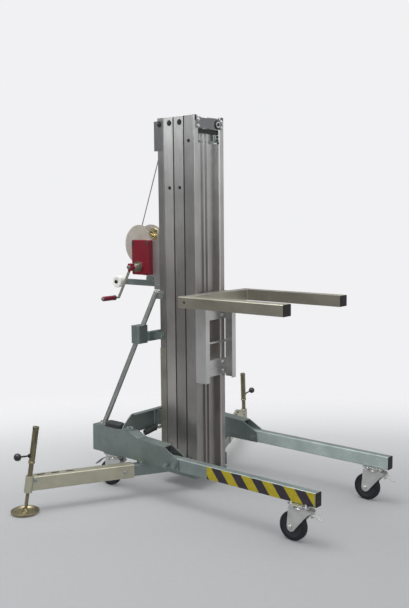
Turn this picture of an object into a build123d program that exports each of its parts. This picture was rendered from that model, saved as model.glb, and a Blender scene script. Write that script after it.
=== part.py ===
from build123d import *
import math
import os

# Portable mast lift: four nested mast profiles, a hand winch, a fork carriage, fold-up front
# legs, swivel casters and two side outriggers with plunger-locked prop jacks.
# Millimetres, +Z up, +X the way the forks and front legs point, +Y the lift's left side.
# Shapes are drawn with X = 0 on the mast's front face, then moved so that the origin lies
# under the middle of the whole lift, on the floor.

# ---------------------------------------------------------------- driving dimensions
CLEARANCE = 0.4           # running gap between sliding parts
RUNNING_FIT = 0.05        # radial gap of a turning fit
EPSILON = 1.0             # overshoot of a cutting tool past a face

MAST_HALF_WIDTH = 111.6
MAST_TOP = 1824.0
MAST_BOTTOM = 72.0
PROFILE_EDGE = 4.0        # rounding of a profile's outer edges
STAGE_PITCH = 66.0        # front face of one profile to the front face of the next
STAGE_DEPTH = 64.5
STAGE_GAP = STAGE_PITCH - STAGE_DEPTH
REAR_STAGE_DEPTH = 39.0
PROFILE_WALL = 4.0
LIP_INNER_Y = 82.0        # half of the opening between the front lips
WEB_FRONT = 31.0          # front face of the profile's web, behind its front face
WEB_THICKNESS = 3.0
RIB_HEIGHT = 8.0
REAR_LIP_INNER_Y = 60.0

FORK_HALF_WIDTH = 259.0
FORK_TUBE_WIDTH = 56.0
FORK_BOTTOM = 926.0
FORK_TOP = 979.0
FORK_REAR = 19.0
FORK_FRONT = 609.0

BRACKET_OUTER_Y = 336.0
BRACKET_INNER_Y = 276.0
BRACKET_PLATE = 4.0
BRACKET_BOTTOM = 172.0
BRACKET_TOP = 305.0
BRACKET_REAR = -508.0
BRACKET_FRONT = 78.0

LEG_OUTER_Y = 331.0
LEG_WIDTH = 40.0
LEG_BOTTOM = 168.0
LEG_TOP = 230.0
LEG_REAR = -18.0
LEG_FRONT = 820.0
LEG_PIVOT = (53.0, 196.0)
LEG_PIN_HOLE = (8.5, 190.0)

WHEEL_RADIUS = 62.5
WHEEL_WIDTH = 32.0
CASTER_TRAIL = 40.0
CASTER_PLATE_TOP = 168.0
FRONT_CASTER = (742.6, -314.0)
REAR_CASTER = (-373.0, -306.0)

OUTRIGGER_ROOT = (-140.0, -250.0)
OUTRIGGER_ANGLE = 28.5    # from straight sideways, towards the rear
BEAM_BOTTOM = 100.0
BEAM_TOP = 165.0
BEAM_WIDTH = 56.0
BEAM_START = 125.0
BEAM_END = 615.0
JACK_ALONG = 649.0        # jack foot's place in the outrigger's own frame
JACK_ACROSS = 24.0
JACK_LEAN = 8.9           # degrees, top towards the mast
JACK_TOP = 405.0
PAD_RADIUS = 65.0

DRUM_AXIS = (-387.0, 1208.0)
CRANK_AXIS = (-343.0, 1100.0)
GEAR_TEETH = 90
PINION_TEETH = 18
WINDING_RADIUS = 54.0
CABLE_RADIUS = 2.5
CABLE_Y = -50.0

TOP_PULLEY = (-225.0, 1730.0)
TOP_PULLEY_RADIUS = 27.0
HEAD_PULLEY = (-36.0, 1786.0)
HEAD_PULLEY_RADIUS = 25.0

ROLLER_CENTRE = (-515.0, 1015.0)
ROLLER_RADIUS = 30.0

ORIGIN_X = (LEG_FRONT + ROLLER_CENTRE[0] - ROLLER_RADIUS) / 2

os.makedirs("parts", exist_ok=True)


# ---------------------------------------------------------------- small helpers
def block(x0, x1, y0, y1, z0, z1):
    """A box between two corners."""
    middle = Pos((x0 + x1) / 2, (y0 + y1) / 2, (z0 + z1) / 2)
    return middle * Box(abs(x1 - x0), abs(y1 - y0), abs(z1 - z0))


def rod(start, end, radius):
    """A round bar between two points."""
    a, b = Vector(*start), Vector(*end)
    ends_up = Align.MIN
    return Plane(origin=a, z_dir=b - a) * Cylinder(
        radius, (b - a).length, align=(Align.CENTER, Align.CENTER, ends_up)
    )


def rod_y(x, z, y0, y1, radius):
    """A round bar along Y."""
    return rod((x, min(y0, y1), z), (x, max(y0, y1), z), radius)


def tube_y(x, z, y0, y1, radius, bore):
    """A round tube along Y."""
    over = EPSILON
    return rod_y(x, z, y0, y1, radius) - rod_y(x, z, min(y0, y1) - over, max(y0, y1) + over, bore)


def plate_xz(points, y0, y1):
    """A flat plate with its outline in the XZ plane."""
    outline = Polyline(*[(x, y0, z) for x, z in points], close=True)
    return extrude(make_face(outline), amount=y1 - y0, dir=(0, 1, 0))


def plate_yz(points, x0, x1):
    """A flat plate with its outline in the YZ plane."""
    outline = Polyline(*[(x0, y, z) for y, z in points], close=True)
    return extrude(make_face(outline), amount=x1 - x0, dir=(1, 0, 0))


def hex_head(x, z, y_face, side, across=17.0, height=7.0):
    """A hexagon bolt head on a face that looks along Y; side is -1 or 1."""
    head = extrude(RegularPolygon(across / math.sqrt(3), 6), amount=height)
    facing = Plane(origin=(x, y_face, z), x_dir=(1, 0, 0), z_dir=(0, side, 0))
    return facing * head


def other_side(shape):
    """The mirrored copy on the lift's other side."""
    return mirror(shape, about=Plane.XZ)


def both_sides(shape):
    """A shape with its mirrored copy, as separate solids."""
    return Compound(children=list(shape.solids()) + list(other_side(shape).solids()))


def group(*shapes):
    """Several solids in one node, not joined to each other."""
    return Compound(children=[solid for shape in shapes for solid in shape.solids()])


def save(name, shape):
    """Write one node, moved into the lift's own frame."""
    moved = Pos(-ORIGIN_X, 0, 0) * shape
    export_step(moved, f"parts/{name}.step")


# ---------------------------------------------------------------- mast
def mast_profile(front, depth, web_at):
    """One mast extrusion: side walls, front lips, a web with two ribs and, when deep, rear lips."""
    rear = front - depth
    inner = MAST_HALF_WIDTH - PROFILE_WALL
    profile = block(rear, front, -MAST_HALF_WIDTH, MAST_HALF_WIDTH, MAST_BOTTOM, MAST_TOP)
    profile = fillet(profile.edges().filter_by(Axis.Z), PROFILE_EDGE)
    web_front = front - web_at
    web_rear = web_front - WEB_THICKNESS
    low, high = MAST_BOTTOM - EPSILON, MAST_TOP + EPSILON
    profile -= block(web_front, front - PROFILE_WALL, -inner, inner, low, high)
    profile -= block(
        front - PROFILE_WALL - EPSILON, front + EPSILON, -LIP_INNER_Y, LIP_INNER_Y, low, high
    )
    if web_rear > rear + PROFILE_WALL:
        profile -= block(rear + PROFILE_WALL, web_rear, -inner, inner, low, high)
        profile -= block(
            rear - EPSILON, rear + PROFILE_WALL + EPSILON, -REAR_LIP_INNER_Y, REAR_LIP_INNER_Y,
            low, high,
        )
        rib_inner, rib_outer = 8.0, 20.0
        for side in (-1, 1):
            profile += block(
                web_front - EPSILON, web_front + RIB_HEIGHT, side * rib_inner, side * rib_outer,
                MAST_BOTTOM, MAST_TOP,
            )
    return profile


def guide_shoes(rear_face, heights):
    """T-shaped nylon blocks behind a stage, held by the lips of the stage behind it."""
    neck_half = LIP_INNER_Y - CLEARANCE
    head_half = MAST_HALF_WIDTH - PROFILE_WALL - CLEARANCE
    lip_back = rear_face - STAGE_GAP - PROFILE_WALL
    head_front = lip_back - CLEARANCE
    head_rear = head_front - 17.5
    shoes = []
    for low, high in heights:
        neck = block(head_rear, rear_face, -neck_half, neck_half, low, high)
        head = block(head_rear, head_front, -head_half, head_half, low, high)
        shoes.append(neck + head)
    return group(*shoes)


def side_holes(front, places, radius=7.0):
    """Through holes in both side walls of a profile."""
    over = MAST_HALF_WIDTH + EPSILON
    holes = [rod_y(front + x, z, -over, over, radius) for x, z in places]
    return holes


STAGE_FRONTS = {"d": 0.0, "c": -STAGE_PITCH, "b": -2 * STAGE_PITCH, "a": -3 * STAGE_PITCH}
SHOE_HEIGHTS = ((84.0, 150.0), (330.0, 410.0))

# rear profile, fixed to the base
stage_a = mast_profile(STAGE_FRONTS["a"], REAR_STAGE_DEPTH, REAR_STAGE_DEPTH - PROFILE_WALL)
mast_rear = STAGE_FRONTS["a"] - REAR_STAGE_DEPTH
SLOT_HALF_WIDTH = 12.0
SLOT_BOTTOM = 1685.0
stage_a -= block(
    mast_rear - EPSILON, mast_rear + PROFILE_WALL + 2,
    CABLE_Y - SLOT_HALF_WIDTH, CABLE_Y + SLOT_HALF_WIDTH, SLOT_BOTTOM, MAST_TOP + EPSILON,
)
save("mast_stage_a", stage_a)

for letter in ("b", "c", "d"):
    front = STAGE_FRONTS[letter]
    stage = mast_profile(front, STAGE_DEPTH, WEB_FRONT)
    holes = ((-34.0, 1706.0),) if letter == "d" else ((-25.0, 1796.0), (-27.0, 1487.0))
    for hole in side_holes(front, holes):
        stage -= hole
    if letter == "d":
        # the head pulley stands in a notch in the web
        stage -= block(-66, -20, -22, 22, 1752, MAST_TOP + EPSILON)
    save(f"mast_stage_{letter}", stage)
    save(f"guide_shoes_{letter}", guide_shoes(front - STAGE_DEPTH, SHOE_HEIGHTS))

# head bracket on the front profile: face plate, two cheeks and the pulley pin
head_x, head_z = HEAD_PULLEY
cheek_inner, cheek_outer = 9.0, 13.0
PULLEY_PIN_RADIUS = 6.0
HEAD_LOW, HEAD_HIGH = 1765.0, 1814.0
head_bracket = block(0, 4, -95, 95, HEAD_LOW, HEAD_HIGH)
for side in (-1, 1):
    head_bracket += block(
        -62, 0.5, side * cheek_inner, side * cheek_outer, HEAD_LOW + 3, HEAD_HIGH - 2
    )
head_bracket += rod_y(head_x, head_z, -cheek_outer - 4, cheek_outer + 4, PULLEY_PIN_RADIUS)
save("mast_head_bracket", head_bracket)


def cable_pulley(x, z, y, radius, bore):
    """A grooved cable pulley with a plain bore."""
    half = 7.0
    wheel = rod_y(x, z, y - half, y + half, radius + 3)
    groove = Pos(x, y, z) * Rot(90, 0, 0) * Torus(radius + 3, 4.0)
    wheel -= groove
    return wheel - rod_y(x, z, y - half - EPSILON, y + half + EPSILON, bore)


pulley_x, pulley_z = TOP_PULLEY
pulley_bore = PULLEY_PIN_RADIUS + RUNNING_FIT
save("head_pulley", cable_pulley(head_x, head_z, 0, HEAD_PULLEY_RADIUS - 3, pulley_bore))
save("top_pulley", cable_pulley(pulley_x, pulley_z, CABLE_Y, TOP_PULLEY_RADIUS - 3, pulley_bore))

# pulley block on the back of the rear profile
BLOCK_LOW, BLOCK_HIGH = 1667.0, 1810.0
BLOCK_PLATE = 3.0
BLOCK_DEPTH = 15.0
FLANGE_DEPTH = 22.0
block_y = MAST_HALF_WIDTH
top_block = block(mast_rear - BLOCK_PLATE, mast_rear, -block_y, block_y, BLOCK_LOW, BLOCK_HIGH)
top_block -= block(
    mast_rear - BLOCK_PLATE - EPSILON, mast_rear + EPSILON,
    CABLE_Y - SLOT_HALF_WIDTH, CABLE_Y + SLOT_HALF_WIDTH, SLOT_BOTTOM + 3, BLOCK_HIGH + EPSILON,
)
cheek_near, cheek_far = 9.0, 12.0
for side in (-1, 1):
    top_block += block(
        mast_rear - BLOCK_DEPTH, mast_rear, CABLE_Y + side * cheek_near, CABLE_Y + side * cheek_far,
        BLOCK_LOW, BLOCK_HIGH,
    )
    top_block += block(
        mast_rear - 1, pulley_x + 17, CABLE_Y + side * cheek_near, CABLE_Y + side * (cheek_far - 0.2),
        pulley_z - 40, pulley_z + 40,
    )
    top_block += block(
        mast_rear - FLANGE_DEPTH, mast_rear, side * (block_y - PROFILE_WALL), side * block_y,
        BLOCK_LOW, BLOCK_HIGH,
    )
top_block += rod_y(pulley_x, pulley_z, CABLE_Y - 13, CABLE_Y + 13, PULLEY_PIN_RADIUS)
save("top_pulley_block", top_block)

# ---------------------------------------------------------------- carriage and forks
CHANNEL_OUTER_Y = 116.0
CHANNEL_FRONT = 65.0
CHANNEL_BOTTOM = 545.0
CHANNEL_WALL = 4.0
CHANNEL_LIP = 29.0
CROSS_PLATES = ((558, 640), (722, 731), (840, FORK_TOP))   # low and high edge of each
carriage = None
for side in (-1, 1):
    cheek = block(
        STAGE_GAP, CHANNEL_FRONT, side * (CHANNEL_OUTER_Y - CHANNEL_WALL), side * CHANNEL_OUTER_Y,
        CHANNEL_BOTTOM, FORK_TOP,
    )
    cheek += block(
        CHANNEL_FRONT - CHANNEL_WALL, CHANNEL_FRONT,
        side * (CHANNEL_OUTER_Y - CHANNEL_LIP), side * CHANNEL_OUTER_Y, CHANNEL_BOTTOM, FORK_BOTTOM,
    )
    cheek -= block(FORK_REAR, 80, -200, 200, FORK_BOTTOM, FORK_TOP + EPSILON)
    carriage = cheek if carriage is None else carriage + cheek
inner_y = CHANNEL_OUTER_Y - CHANNEL_WALL + 0.5
plate_front = STAGE_GAP + 7.5
for low, high in CROSS_PLATES:
    carriage += block(STAGE_GAP, plate_front, -inner_y, inner_y, low, high)
carriage += block(plate_front, plate_front + 3, -inner_y, inner_y, 560, 596)
carriage += block(plate_front, FORK_REAR, -30, 30, 905, FORK_TOP)
save("carriage_frame", carriage)
save("guide_shoes_carriage", guide_shoes(STAGE_GAP, ((560.0, 635.0), (845.0, 920.0))))

fork_inner = FORK_HALF_WIDTH - FORK_TUBE_WIDTH
fork_wall = 4.0
forks = block(FORK_REAR, FORK_FRONT, -FORK_HALF_WIDTH, FORK_HALF_WIDTH, FORK_BOTTOM, FORK_TOP)
forks = fillet(forks.edges().filter_by(Axis.X), 5)
rear_tube_front = FORK_REAR + FORK_TUBE_WIDTH
forks -= block(rear_tube_front, FORK_FRONT + EPSILON, -fork_inner, fork_inner, 900, 1000)
for side in (-1, 1):
    forks -= block(
        rear_tube_front - 20, FORK_FRONT + EPSILON,
        side * (fork_inner + fork_wall), side * (FORK_HALF_WIDTH - fork_wall),
        FORK_BOTTOM + fork_wall, FORK_TOP - fork_wall,
    )
    forks -= rod_y(55, 953, side * (FORK_HALF_WIDTH - 10), side * (FORK_HALF_WIDTH + 1), 6.0)
rear_cavity_y = FORK_HALF_WIDTH - fork_wall
forks -= block(
    FORK_REAR + fork_wall, rear_tube_front - fork_wall, -rear_cavity_y, rear_cavity_y,
    FORK_BOTTOM + fork_wall, FORK_TOP - fork_wall,
)
save("fork_frame", forks)


# ---------------------------------------------------------------- base frame
PIVOT_BOLT_RADIUS = 8.0
LOCK_PIN_RADIUS = 5.0
WEB_END_X = -15.0


def side_bracket():
    """Right-hand bracket: two side plates, a sloping top web and a rear wall; open in front."""
    t = BRACKET_PLATE
    shoulder = [(-241, BRACKET_TOP), (-190, 282), (WEB_END_X, 272)]
    outline = [(BRACKET_REAR, BRACKET_BOTTOM), (BRACKET_REAR + 3, BRACKET_TOP), *shoulder]
    outline += [(72, 226), (BRACKET_FRONT, BRACKET_BOTTOM)]
    hollow = [(BRACKET_REAR + t, 100), (BRACKET_REAR + t + 3, BRACKET_TOP - t)]
    hollow += [(x, z - t) for x, z in shoulder]
    hollow += [(WEB_END_X, 400), (200, 400), (200, 100)]
    shape = plate_xz(outline, -BRACKET_OUTER_Y, -BRACKET_INNER_Y)
    shape -= plate_xz(hollow, -BRACKET_OUTER_Y + t, -BRACKET_INNER_Y - t)
    caster_x, _ = REAR_CASTER
    pad_half = 60.0
    shape += block(
        caster_x - pad_half, caster_x + pad_half, -BRACKET_OUTER_Y, -BRACKET_INNER_Y,
        CASTER_PLATE_TOP, BRACKET_BOTTOM + 1,
    )
    cut_y = (-BRACKET_OUTER_Y - EPSILON, -BRACKET_INNER_Y + EPSILON)
    shape -= rod_y(*LEG_PIVOT, *cut_y, PIVOT_BOLT_RADIUS)
    shape -= rod_y(*LEG_PIN_HOLE, -BRACKET_OUTER_Y - EPSILON, -BRACKET_OUTER_Y + t + EPSILON,
                   LOCK_PIN_RADIUS + 0.1)
    return shape


right_bracket = side_bracket()
save("side_bracket_right", right_bracket)
save("side_bracket_left", other_side(right_bracket))

# upright plate across both brackets, with a folded top edge and gussets to the mast
CROSS_REAR = -304.0
CROSS_FRONT = -298.0
CROSS_BOTTOM = 276.0
CROSS_TOP = 372.0
CROSS_FOLD = 24.0
SADDLE_Y = (282.0, 330.0)     # tabs that sit on the side brackets
GUSSET_Y = (94.0, 99.0)
BACK_PLATE_Z = (282.0, 392.0)
cross_half = [
    (0, CROSS_TOP), (262, CROSS_TOP), (318, 325), (330, BRACKET_TOP), (273, BRACKET_TOP),
    (266, 283), (240, CROSS_BOTTOM),
]
cross_outline = cross_half + [(-y, z) for y, z in reversed(cross_half[1:])]
cross_member = plate_yz(cross_outline, CROSS_REAR, CROSS_FRONT)
cross_member += block(CROSS_REAR, CROSS_FRONT + CROSS_FOLD, -262, 262, CROSS_TOP - 4, CROSS_TOP)
cross_member += block(mast_rear - 4, mast_rear, -108, 108, *BACK_PLATE_Z)
for side in (-1, 1):
    cross_member += block(
        CROSS_FRONT - 1, mast_rear - 1, side * GUSSET_Y[0], side * GUSSET_Y[1],
        BACK_PLATE_Z[0] + 2, CROSS_TOP - 2,
    )
    cross_member += block(
        CROSS_REAR, CROSS_FRONT + CROSS_FOLD + 10, side * SADDLE_Y[0], side * SADDLE_Y[1],
        BRACKET_TOP, BRACKET_TOP + 4,
    )
save("cross_member", cross_member)

# U-shaped foot: floor plate, two side plates and a rear plate around the fixed profile
FOOT_SIDE_Y = MAST_HALF_WIDTH + CLEARANCE
FOOT_PLATE = 6.0
FOOT_REAR = -245.0
FOOT_FRONT = 1.0
FOOT_SIDE_TOP = 142.0
FOOT_BOTTOM = 61.0
foot_outer = FOOT_SIDE_Y + FOOT_PLATE
stage_a_front = STAGE_FRONTS["a"]
mast_foot = block(
    FOOT_REAR, FOOT_FRONT, -foot_outer, foot_outer, FOOT_BOTTOM, MAST_BOTTOM - CLEARANCE
)
mast_foot += block(
    FOOT_REAR, stage_a_front, -foot_outer, foot_outer, FOOT_BOTTOM + 4, MAST_BOTTOM
)
for side in (-1, 1):
    mast_foot += block(
        FOOT_REAR, -25, side * FOOT_SIDE_Y, side * foot_outer, FOOT_BOTTOM, FOOT_SIDE_TOP
    )
mast_foot += block(FOOT_REAR, mast_rear, -foot_outer, foot_outer, FOOT_BOTTOM, FOOT_SIDE_TOP)
save("mast_foot", mast_foot)


# ---------------------------------------------------------------- outriggers
swing = math.radians(OUTRIGGER_ANGLE)
outrigger_frame = Plane(
    origin=(OUTRIGGER_ROOT[0], OUTRIGGER_ROOT[1], 0),
    x_dir=(-math.sin(swing), -math.cos(swing), 0),
    z_dir=(0, 0, 1),
)
BEAM_WALL = 4.0
STUB_GAP = 1.0
STUB_HALF_WIDTH = BEAM_WIDTH / 2 - BEAM_WALL - STUB_GAP
STUB_BOTTOM = BEAM_BOTTOM + BEAM_WALL + STUB_GAP
STUB_TOP = BEAM_TOP - BEAM_WALL - STUB_GAP
STUB_END = 450.0


def square_tube(x0, x1, half_width, z0, z1, wall):
    """A rectangular tube along X, open at both ends."""
    tube = block(x0, x1, -half_width, half_width, z0, z1)
    tube = fillet(tube.edges().filter_by(Axis.X), wall)
    inner = half_width - wall
    return tube - block(x0 - EPSILON, x1 + EPSILON, -inner, inner, z0 + wall, z1 - wall)


stub = square_tube(-190, STUB_END, STUB_HALF_WIDTH, STUB_BOTTOM, STUB_TOP, 3.5)
stub += block(34, 98, -STUB_HALF_WIDTH, STUB_HALF_WIDTH, STUB_TOP - 2, BRACKET_BOTTOM)
stub = outrigger_frame * stub
stub -= block(-400, 200, -foot_outer, foot_outer, 0, 300)
save("outrigger_stubs", both_sides(stub))

lean = math.radians(JACK_LEAN)
jack_frame = Plane(
    origin=(JACK_ALONG, JACK_ACROSS, 0),
    x_dir=(math.cos(lean), 0, math.sin(lean)),
    z_dir=(-math.sin(lean), 0, math.cos(lean)),
)
JACK_ROD_RADIUS = 8.2
GUIDE_RADIUS = 11.0
GUIDE_TOP = 300.0
SLEEVE_RADIUS = 14.0
SLEEVE_BOTTOM = 235.0
BALL_RADIUS = 8.0
BALL_HEIGHT = 16.0
KNOB_HEIGHT = 270.0
KNOB_RADIUS = 17.5
KNOB_REACH = 84.0
PLUNGER_RADIUS = 4.0
COLLAR_RADIUS = 19.0


def along_jack(low, high, radius):
    """A round bar on the jack's leaning axis, in the outrigger's own frame."""
    return jack_frame * rod((0, 0, low), (0, 0, high), radius)


# the plunger points straight out to the machine's side
plunger_frame = jack_frame * Rot(0, 0, OUTRIGGER_ANGLE)
COLLAR_HEIGHTS = (98.0, 172.0)


def across_jack(start, end, radius):
    """A round bar pointing away from the jack's axis at the height of the knob."""
    return plunger_frame * rod((start, 0, KNOB_HEIGHT), (end, 0, KNOB_HEIGHT), radius)


beam = square_tube(BEAM_START, BEAM_END, BEAM_WIDTH / 2, BEAM_BOTTOM, BEAM_TOP, BEAM_WALL)
beam += block(BEAM_END - 1, BEAM_END + 4, -BEAM_WIDTH / 2, BEAM_WIDTH / 2, BEAM_BOTTOM, BEAM_TOP)
beam += along_jack(*COLLAR_HEIGHTS, COLLAR_RADIUS)
beam += along_jack(110, GUIDE_TOP, GUIDE_RADIUS)
beam -= along_jack(60, GUIDE_TOP + 10, JACK_ROD_RADIUS + CLEARANCE)

post = along_jack(30, JACK_TOP - 5, JACK_ROD_RADIUS)
post += along_jack(BALL_HEIGHT, 34, 5.0)
post += jack_frame * Pos(0, 0, BALL_HEIGHT) * Sphere(BALL_RADIUS)
sleeve = along_jack(SLEEVE_BOTTOM, JACK_TOP, SLEEVE_RADIUS)
sleeve -= along_jack(SLEEVE_BOTTOM - 5, JACK_TOP - 10, GUIDE_RADIUS + CLEARANCE)
sleeve += across_jack(SLEEVE_RADIUS - 2, SLEEVE_RADIUS + 5, 7.5)
sleeve -= across_jack(GUIDE_RADIUS - 1, SLEEVE_RADIUS + 10, PLUNGER_RADIUS + 0.1)
sleeve -= jack_frame * block(-3, 3, 9.6, 20, 340, 385)
post += sleeve

knob = across_jack(GUIDE_RADIUS + 0.8, KNOB_REACH, PLUNGER_RADIUS)
knob += plunger_frame * Pos(KNOB_REACH, 0, KNOB_HEIGHT) * Sphere(KNOB_RADIUS)

pad_section = [
    (0, 2), (0, 21), (13, 21), (17, 9), (48, 6), (58, 13), (PAD_RADIUS, 13), (PAD_RADIUS, 8),
    (57, 0), (36, 0), (28, 2),
]
pad = revolve(make_face(Plane.XZ * Polyline(*pad_section, close=True)), Axis.Z, 360)
pad = Pos(JACK_ALONG, JACK_ACROSS, 0) * pad
ball = jack_frame.from_local_coords(Vector(0, 0, BALL_HEIGHT))
pad -= Pos(ball.X, ball.Y, ball.Z) * Sphere(BALL_RADIUS + 0.3)
pad -= rod((ball.X, ball.Y, ball.Z), (ball.X, ball.Y, ball.Z + 12), BALL_RADIUS + 0.3)

for name, shape in (
    ("outrigger_beam", beam), ("jack_post", post), ("jack_knob", knob), ("jack_foot", pad)
):
    placed = outrigger_frame * shape
    save(f"{name}_right", placed)
    save(f"{name}_left", other_side(placed))


# ---------------------------------------------------------------- front legs
LEG_WALL = 3.0
leg_inner_y = -LEG_OUTER_Y + LEG_WIDTH
leg = block(LEG_REAR, LEG_FRONT, -LEG_OUTER_Y, leg_inner_y, LEG_BOTTOM, LEG_TOP)
leg = fillet(leg.edges().filter_by(Axis.X), 5)
leg -= block(
    LEG_REAR - EPSILON, LEG_FRONT + EPSILON, -LEG_OUTER_Y + LEG_WALL, leg_inner_y - LEG_WALL,
    LEG_BOTTOM + LEG_WALL, LEG_TOP - LEG_WALL,
)
leg_cut_y = (-LEG_OUTER_Y - EPSILON, leg_inner_y + EPSILON)
leg -= rod_y(*LEG_PIVOT, *leg_cut_y, PIVOT_BOLT_RADIUS + RUNNING_FIT)
leg -= rod_y(*LEG_PIN_HOLE, *leg_cut_y, LOCK_PIN_RADIUS + 0.5)
save("front_leg_right", leg)
save("front_leg_left", other_side(leg))

# pull pin: its nose is drawn back just clear of the leg
pin_x, pin_z = LEG_PIN_HOLE
PIN_TRAVEL = 12.0
pin_nose_y = -BRACKET_OUTER_Y + BRACKET_PLATE - 0.5
pin_head_y = -BRACKET_OUTER_Y - PIN_TRAVEL - 1
lock_pin = rod_y(pin_x, pin_z, pin_nose_y, pin_head_y, LOCK_PIN_RADIUS)
lock_pin += rod_y(pin_x, pin_z, pin_head_y, pin_head_y - 5, 11.0)
lock_pin += rod_y(pin_x, pin_z, pin_head_y - 5, pin_head_y - 12, 8.0)
save("leg_lock_pin_right", lock_pin)
save("leg_lock_pin_left", other_side(lock_pin))


# ---------------------------------------------------------------- casters
CASTER_PLATE_BOTTOM = CASTER_PLATE_TOP - 4.5
CHEEK_INNER = WHEEL_WIDTH / 2 + 3
CHEEK_OUTER = CHEEK_INNER + 3
AXLE_RADIUS = 6.0
PEDAL_PIN_RADIUS = 4.0
FRONT_PEDAL_PIVOT = (22.0, 139.0)
REAR_PEDAL_PIVOT = (-24.0, 139.0)


def caster_plate():
    """Top plate with its king pin, centred on the swivel axis."""
    plate = block(-50, 50, -38, 38, CASTER_PLATE_BOTTOM, CASTER_PLATE_TOP)
    plate = fillet(plate.edges().filter_by(Axis.Z), 8)
    plate += rod((0, 0, 141), (0, 0, CASTER_PLATE_BOTTOM + 1), AXLE_RADIUS)
    plate += rod((0, 0, 140), (0, 0, 145), 9.0)
    for x in (-37, 37):
        for y in (-26, 26):
            plate -= rod((x, y, 150), (x, y, 180), 4.5)
    return plate


def caster_fork(pedal_pivot):
    """Swivel fork: race ring, crown, two cheeks and the wheel axle."""
    cheek = [
        (34, 152), (-34, 152), (-58, 78), (-54, 52), (-40, 45), (-26, 52), (-22, 72), (6, 124),
        (34, 131),
    ]
    crown_bottom, crown_top = 148.0, 155.0
    fork = rod((0, 0, crown_bottom), (0, 0, crown_top), 33.0)
    fork += rod((0, 0, crown_top), (0, 0, CASTER_PLATE_BOTTOM - 0.3), 30.0)
    for side in (-1, 1):
        fork += plate_xz(cheek, side * CHEEK_INNER, side * CHEEK_OUTER)
        fork += rod_y(
            -CASTER_TRAIL, WHEEL_RADIUS, side * CHEEK_OUTER, side * (CHEEK_OUTER + 5), 10.0
        )
    fork += rod_y(-CASTER_TRAIL, WHEEL_RADIUS, -CHEEK_OUTER, CHEEK_OUTER, AXLE_RADIUS)
    fork -= rod((0, 0, 140), (0, 0, 170), AXLE_RADIUS + RUNNING_FIT)
    return fork - rod_y(*pedal_pivot, -30, 30, PEDAL_PIN_RADIUS + RUNNING_FIT)


def caster_wheel():
    """Tyre and hub as one turned wheel."""
    half = WHEEL_WIDTH / 2
    wheel = rod_y(0, 0, -half, half, WHEEL_RADIUS)
    wheel = fillet(wheel.edges().filter_by(GeomType.CIRCLE), 6)
    for side in (-1, 1):
        wheel -= tube_y(0, 0, side * (half - 6), side * (half + EPSILON), 46, 17)
    wheel -= rod_y(0, 0, -half - EPSILON, half + EPSILON, AXLE_RADIUS + RUNNING_FIT)
    return Pos(-CASTER_TRAIL, 0, WHEEL_RADIUS) * wheel


def brake_pedal(pivot, points):
    """Bent pedal strip with its hinge pin; the points run along the strip's upper side."""
    thickness, half_width = 3.0, 13.0
    lower = [(x, z - thickness) for x, z in reversed(points)]
    pedal = plate_xz(points + lower, -half_width, half_width)
    pedal += rod_y(*pivot, -half_width, half_width, 6.0)
    return pedal + rod_y(*pivot, -CHEEK_OUTER - 1.5, CHEEK_OUTER + 1.5, PEDAL_PIN_RADIUS)


front_pedal = brake_pedal(
    FRONT_PEDAL_PIVOT, [(15, 142), (34, 142), (47, 134), (53, 122), (58, 120)]
)
rear_pedal = brake_pedal(
    REAR_PEDAL_PIVOT, [(-139, 92), (-131, 99), (-104, 120), (-70, 138), (-13, 142)]
)

for place, (x, y), pivot, pedal in (
    ("front", FRONT_CASTER, FRONT_PEDAL_PIVOT, front_pedal),
    ("rear", REAR_CASTER, REAR_PEDAL_PIVOT, rear_pedal),
):
    at = Pos(x, y, 0)
    for name, shape in (
        ("caster_fork", caster_fork(pivot)), ("caster_wheel", caster_wheel()),
        ("brake_pedal", pedal),
    ):
        placed = at * shape
        save(f"{name}_{place}_right", placed)
        save(f"{name}_{place}_left", other_side(placed))

front_plate = Pos(*FRONT_CASTER, 0) * caster_plate()
save("front_caster_plate_right", front_plate)
save("front_caster_plate_left", other_side(front_plate))
save("rear_caster_plates", both_sides(Pos(*REAR_CASTER, 0) * caster_plate()))


# ---------------------------------------------------------------- winch
PRESSURE_ANGLE = math.radians(20)
GEAR_BACKLASH = 0.35
FLANK_STEPS = 4


def involute(angle):
    """The involute function of a pressure angle in radians."""
    return math.tan(angle) - angle


def gear_outline(teeth, module, turn):
    """Points of an involute gear, with one tooth centred at the angle turn."""
    pitch_radius = teeth * module / 2
    base_radius = pitch_radius * math.cos(PRESSURE_ANGLE)
    tip_radius = pitch_radius + module
    root_radius = pitch_radius - 1.25 * module
    half_tooth = math.pi / (2 * teeth) - GEAR_BACKLASH / (2 * pitch_radius)
    first = max(base_radius, root_radius)
    flank = []
    for i in range(FLANK_STEPS + 1):
        radius = first + (tip_radius - first) * i / FLANK_STEPS
        spread = involute(PRESSURE_ANGLE) - involute(math.acos(base_radius / radius))
        flank.append((radius, half_tooth + spread))
    if root_radius < base_radius:
        flank.insert(0, (root_radius, flank[0][1]))
    points = []
    for tooth in range(teeth):
        centre = turn + tooth * 2 * math.pi / teeth
        tooth_sides = [(r, centre - a) for r, a in flank]
        tooth_sides += [(r, centre + a) for r, a in reversed(flank)]
        points += [(r * math.cos(a), r * math.sin(a)) for r, a in tooth_sides]
    return points


def gear_disc(axis, outline, y0, y1):
    """A gear between two Y values; its outline is drawn about the axis in the XZ plane."""
    x, z = axis
    return plate_xz([(x + dx, z + dz) for dx, dz in outline], y0, y1)


drum_x, drum_z = DRUM_AXIS
crank_x, crank_z = CRANK_AXIS
to_pinion = math.atan2(crank_z - drum_z, crank_x - drum_x)
centre_distance = math.hypot(crank_x - drum_x, crank_z - drum_z)
gear_module = 2 * centre_distance / (GEAR_TEETH + PINION_TEETH)
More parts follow.
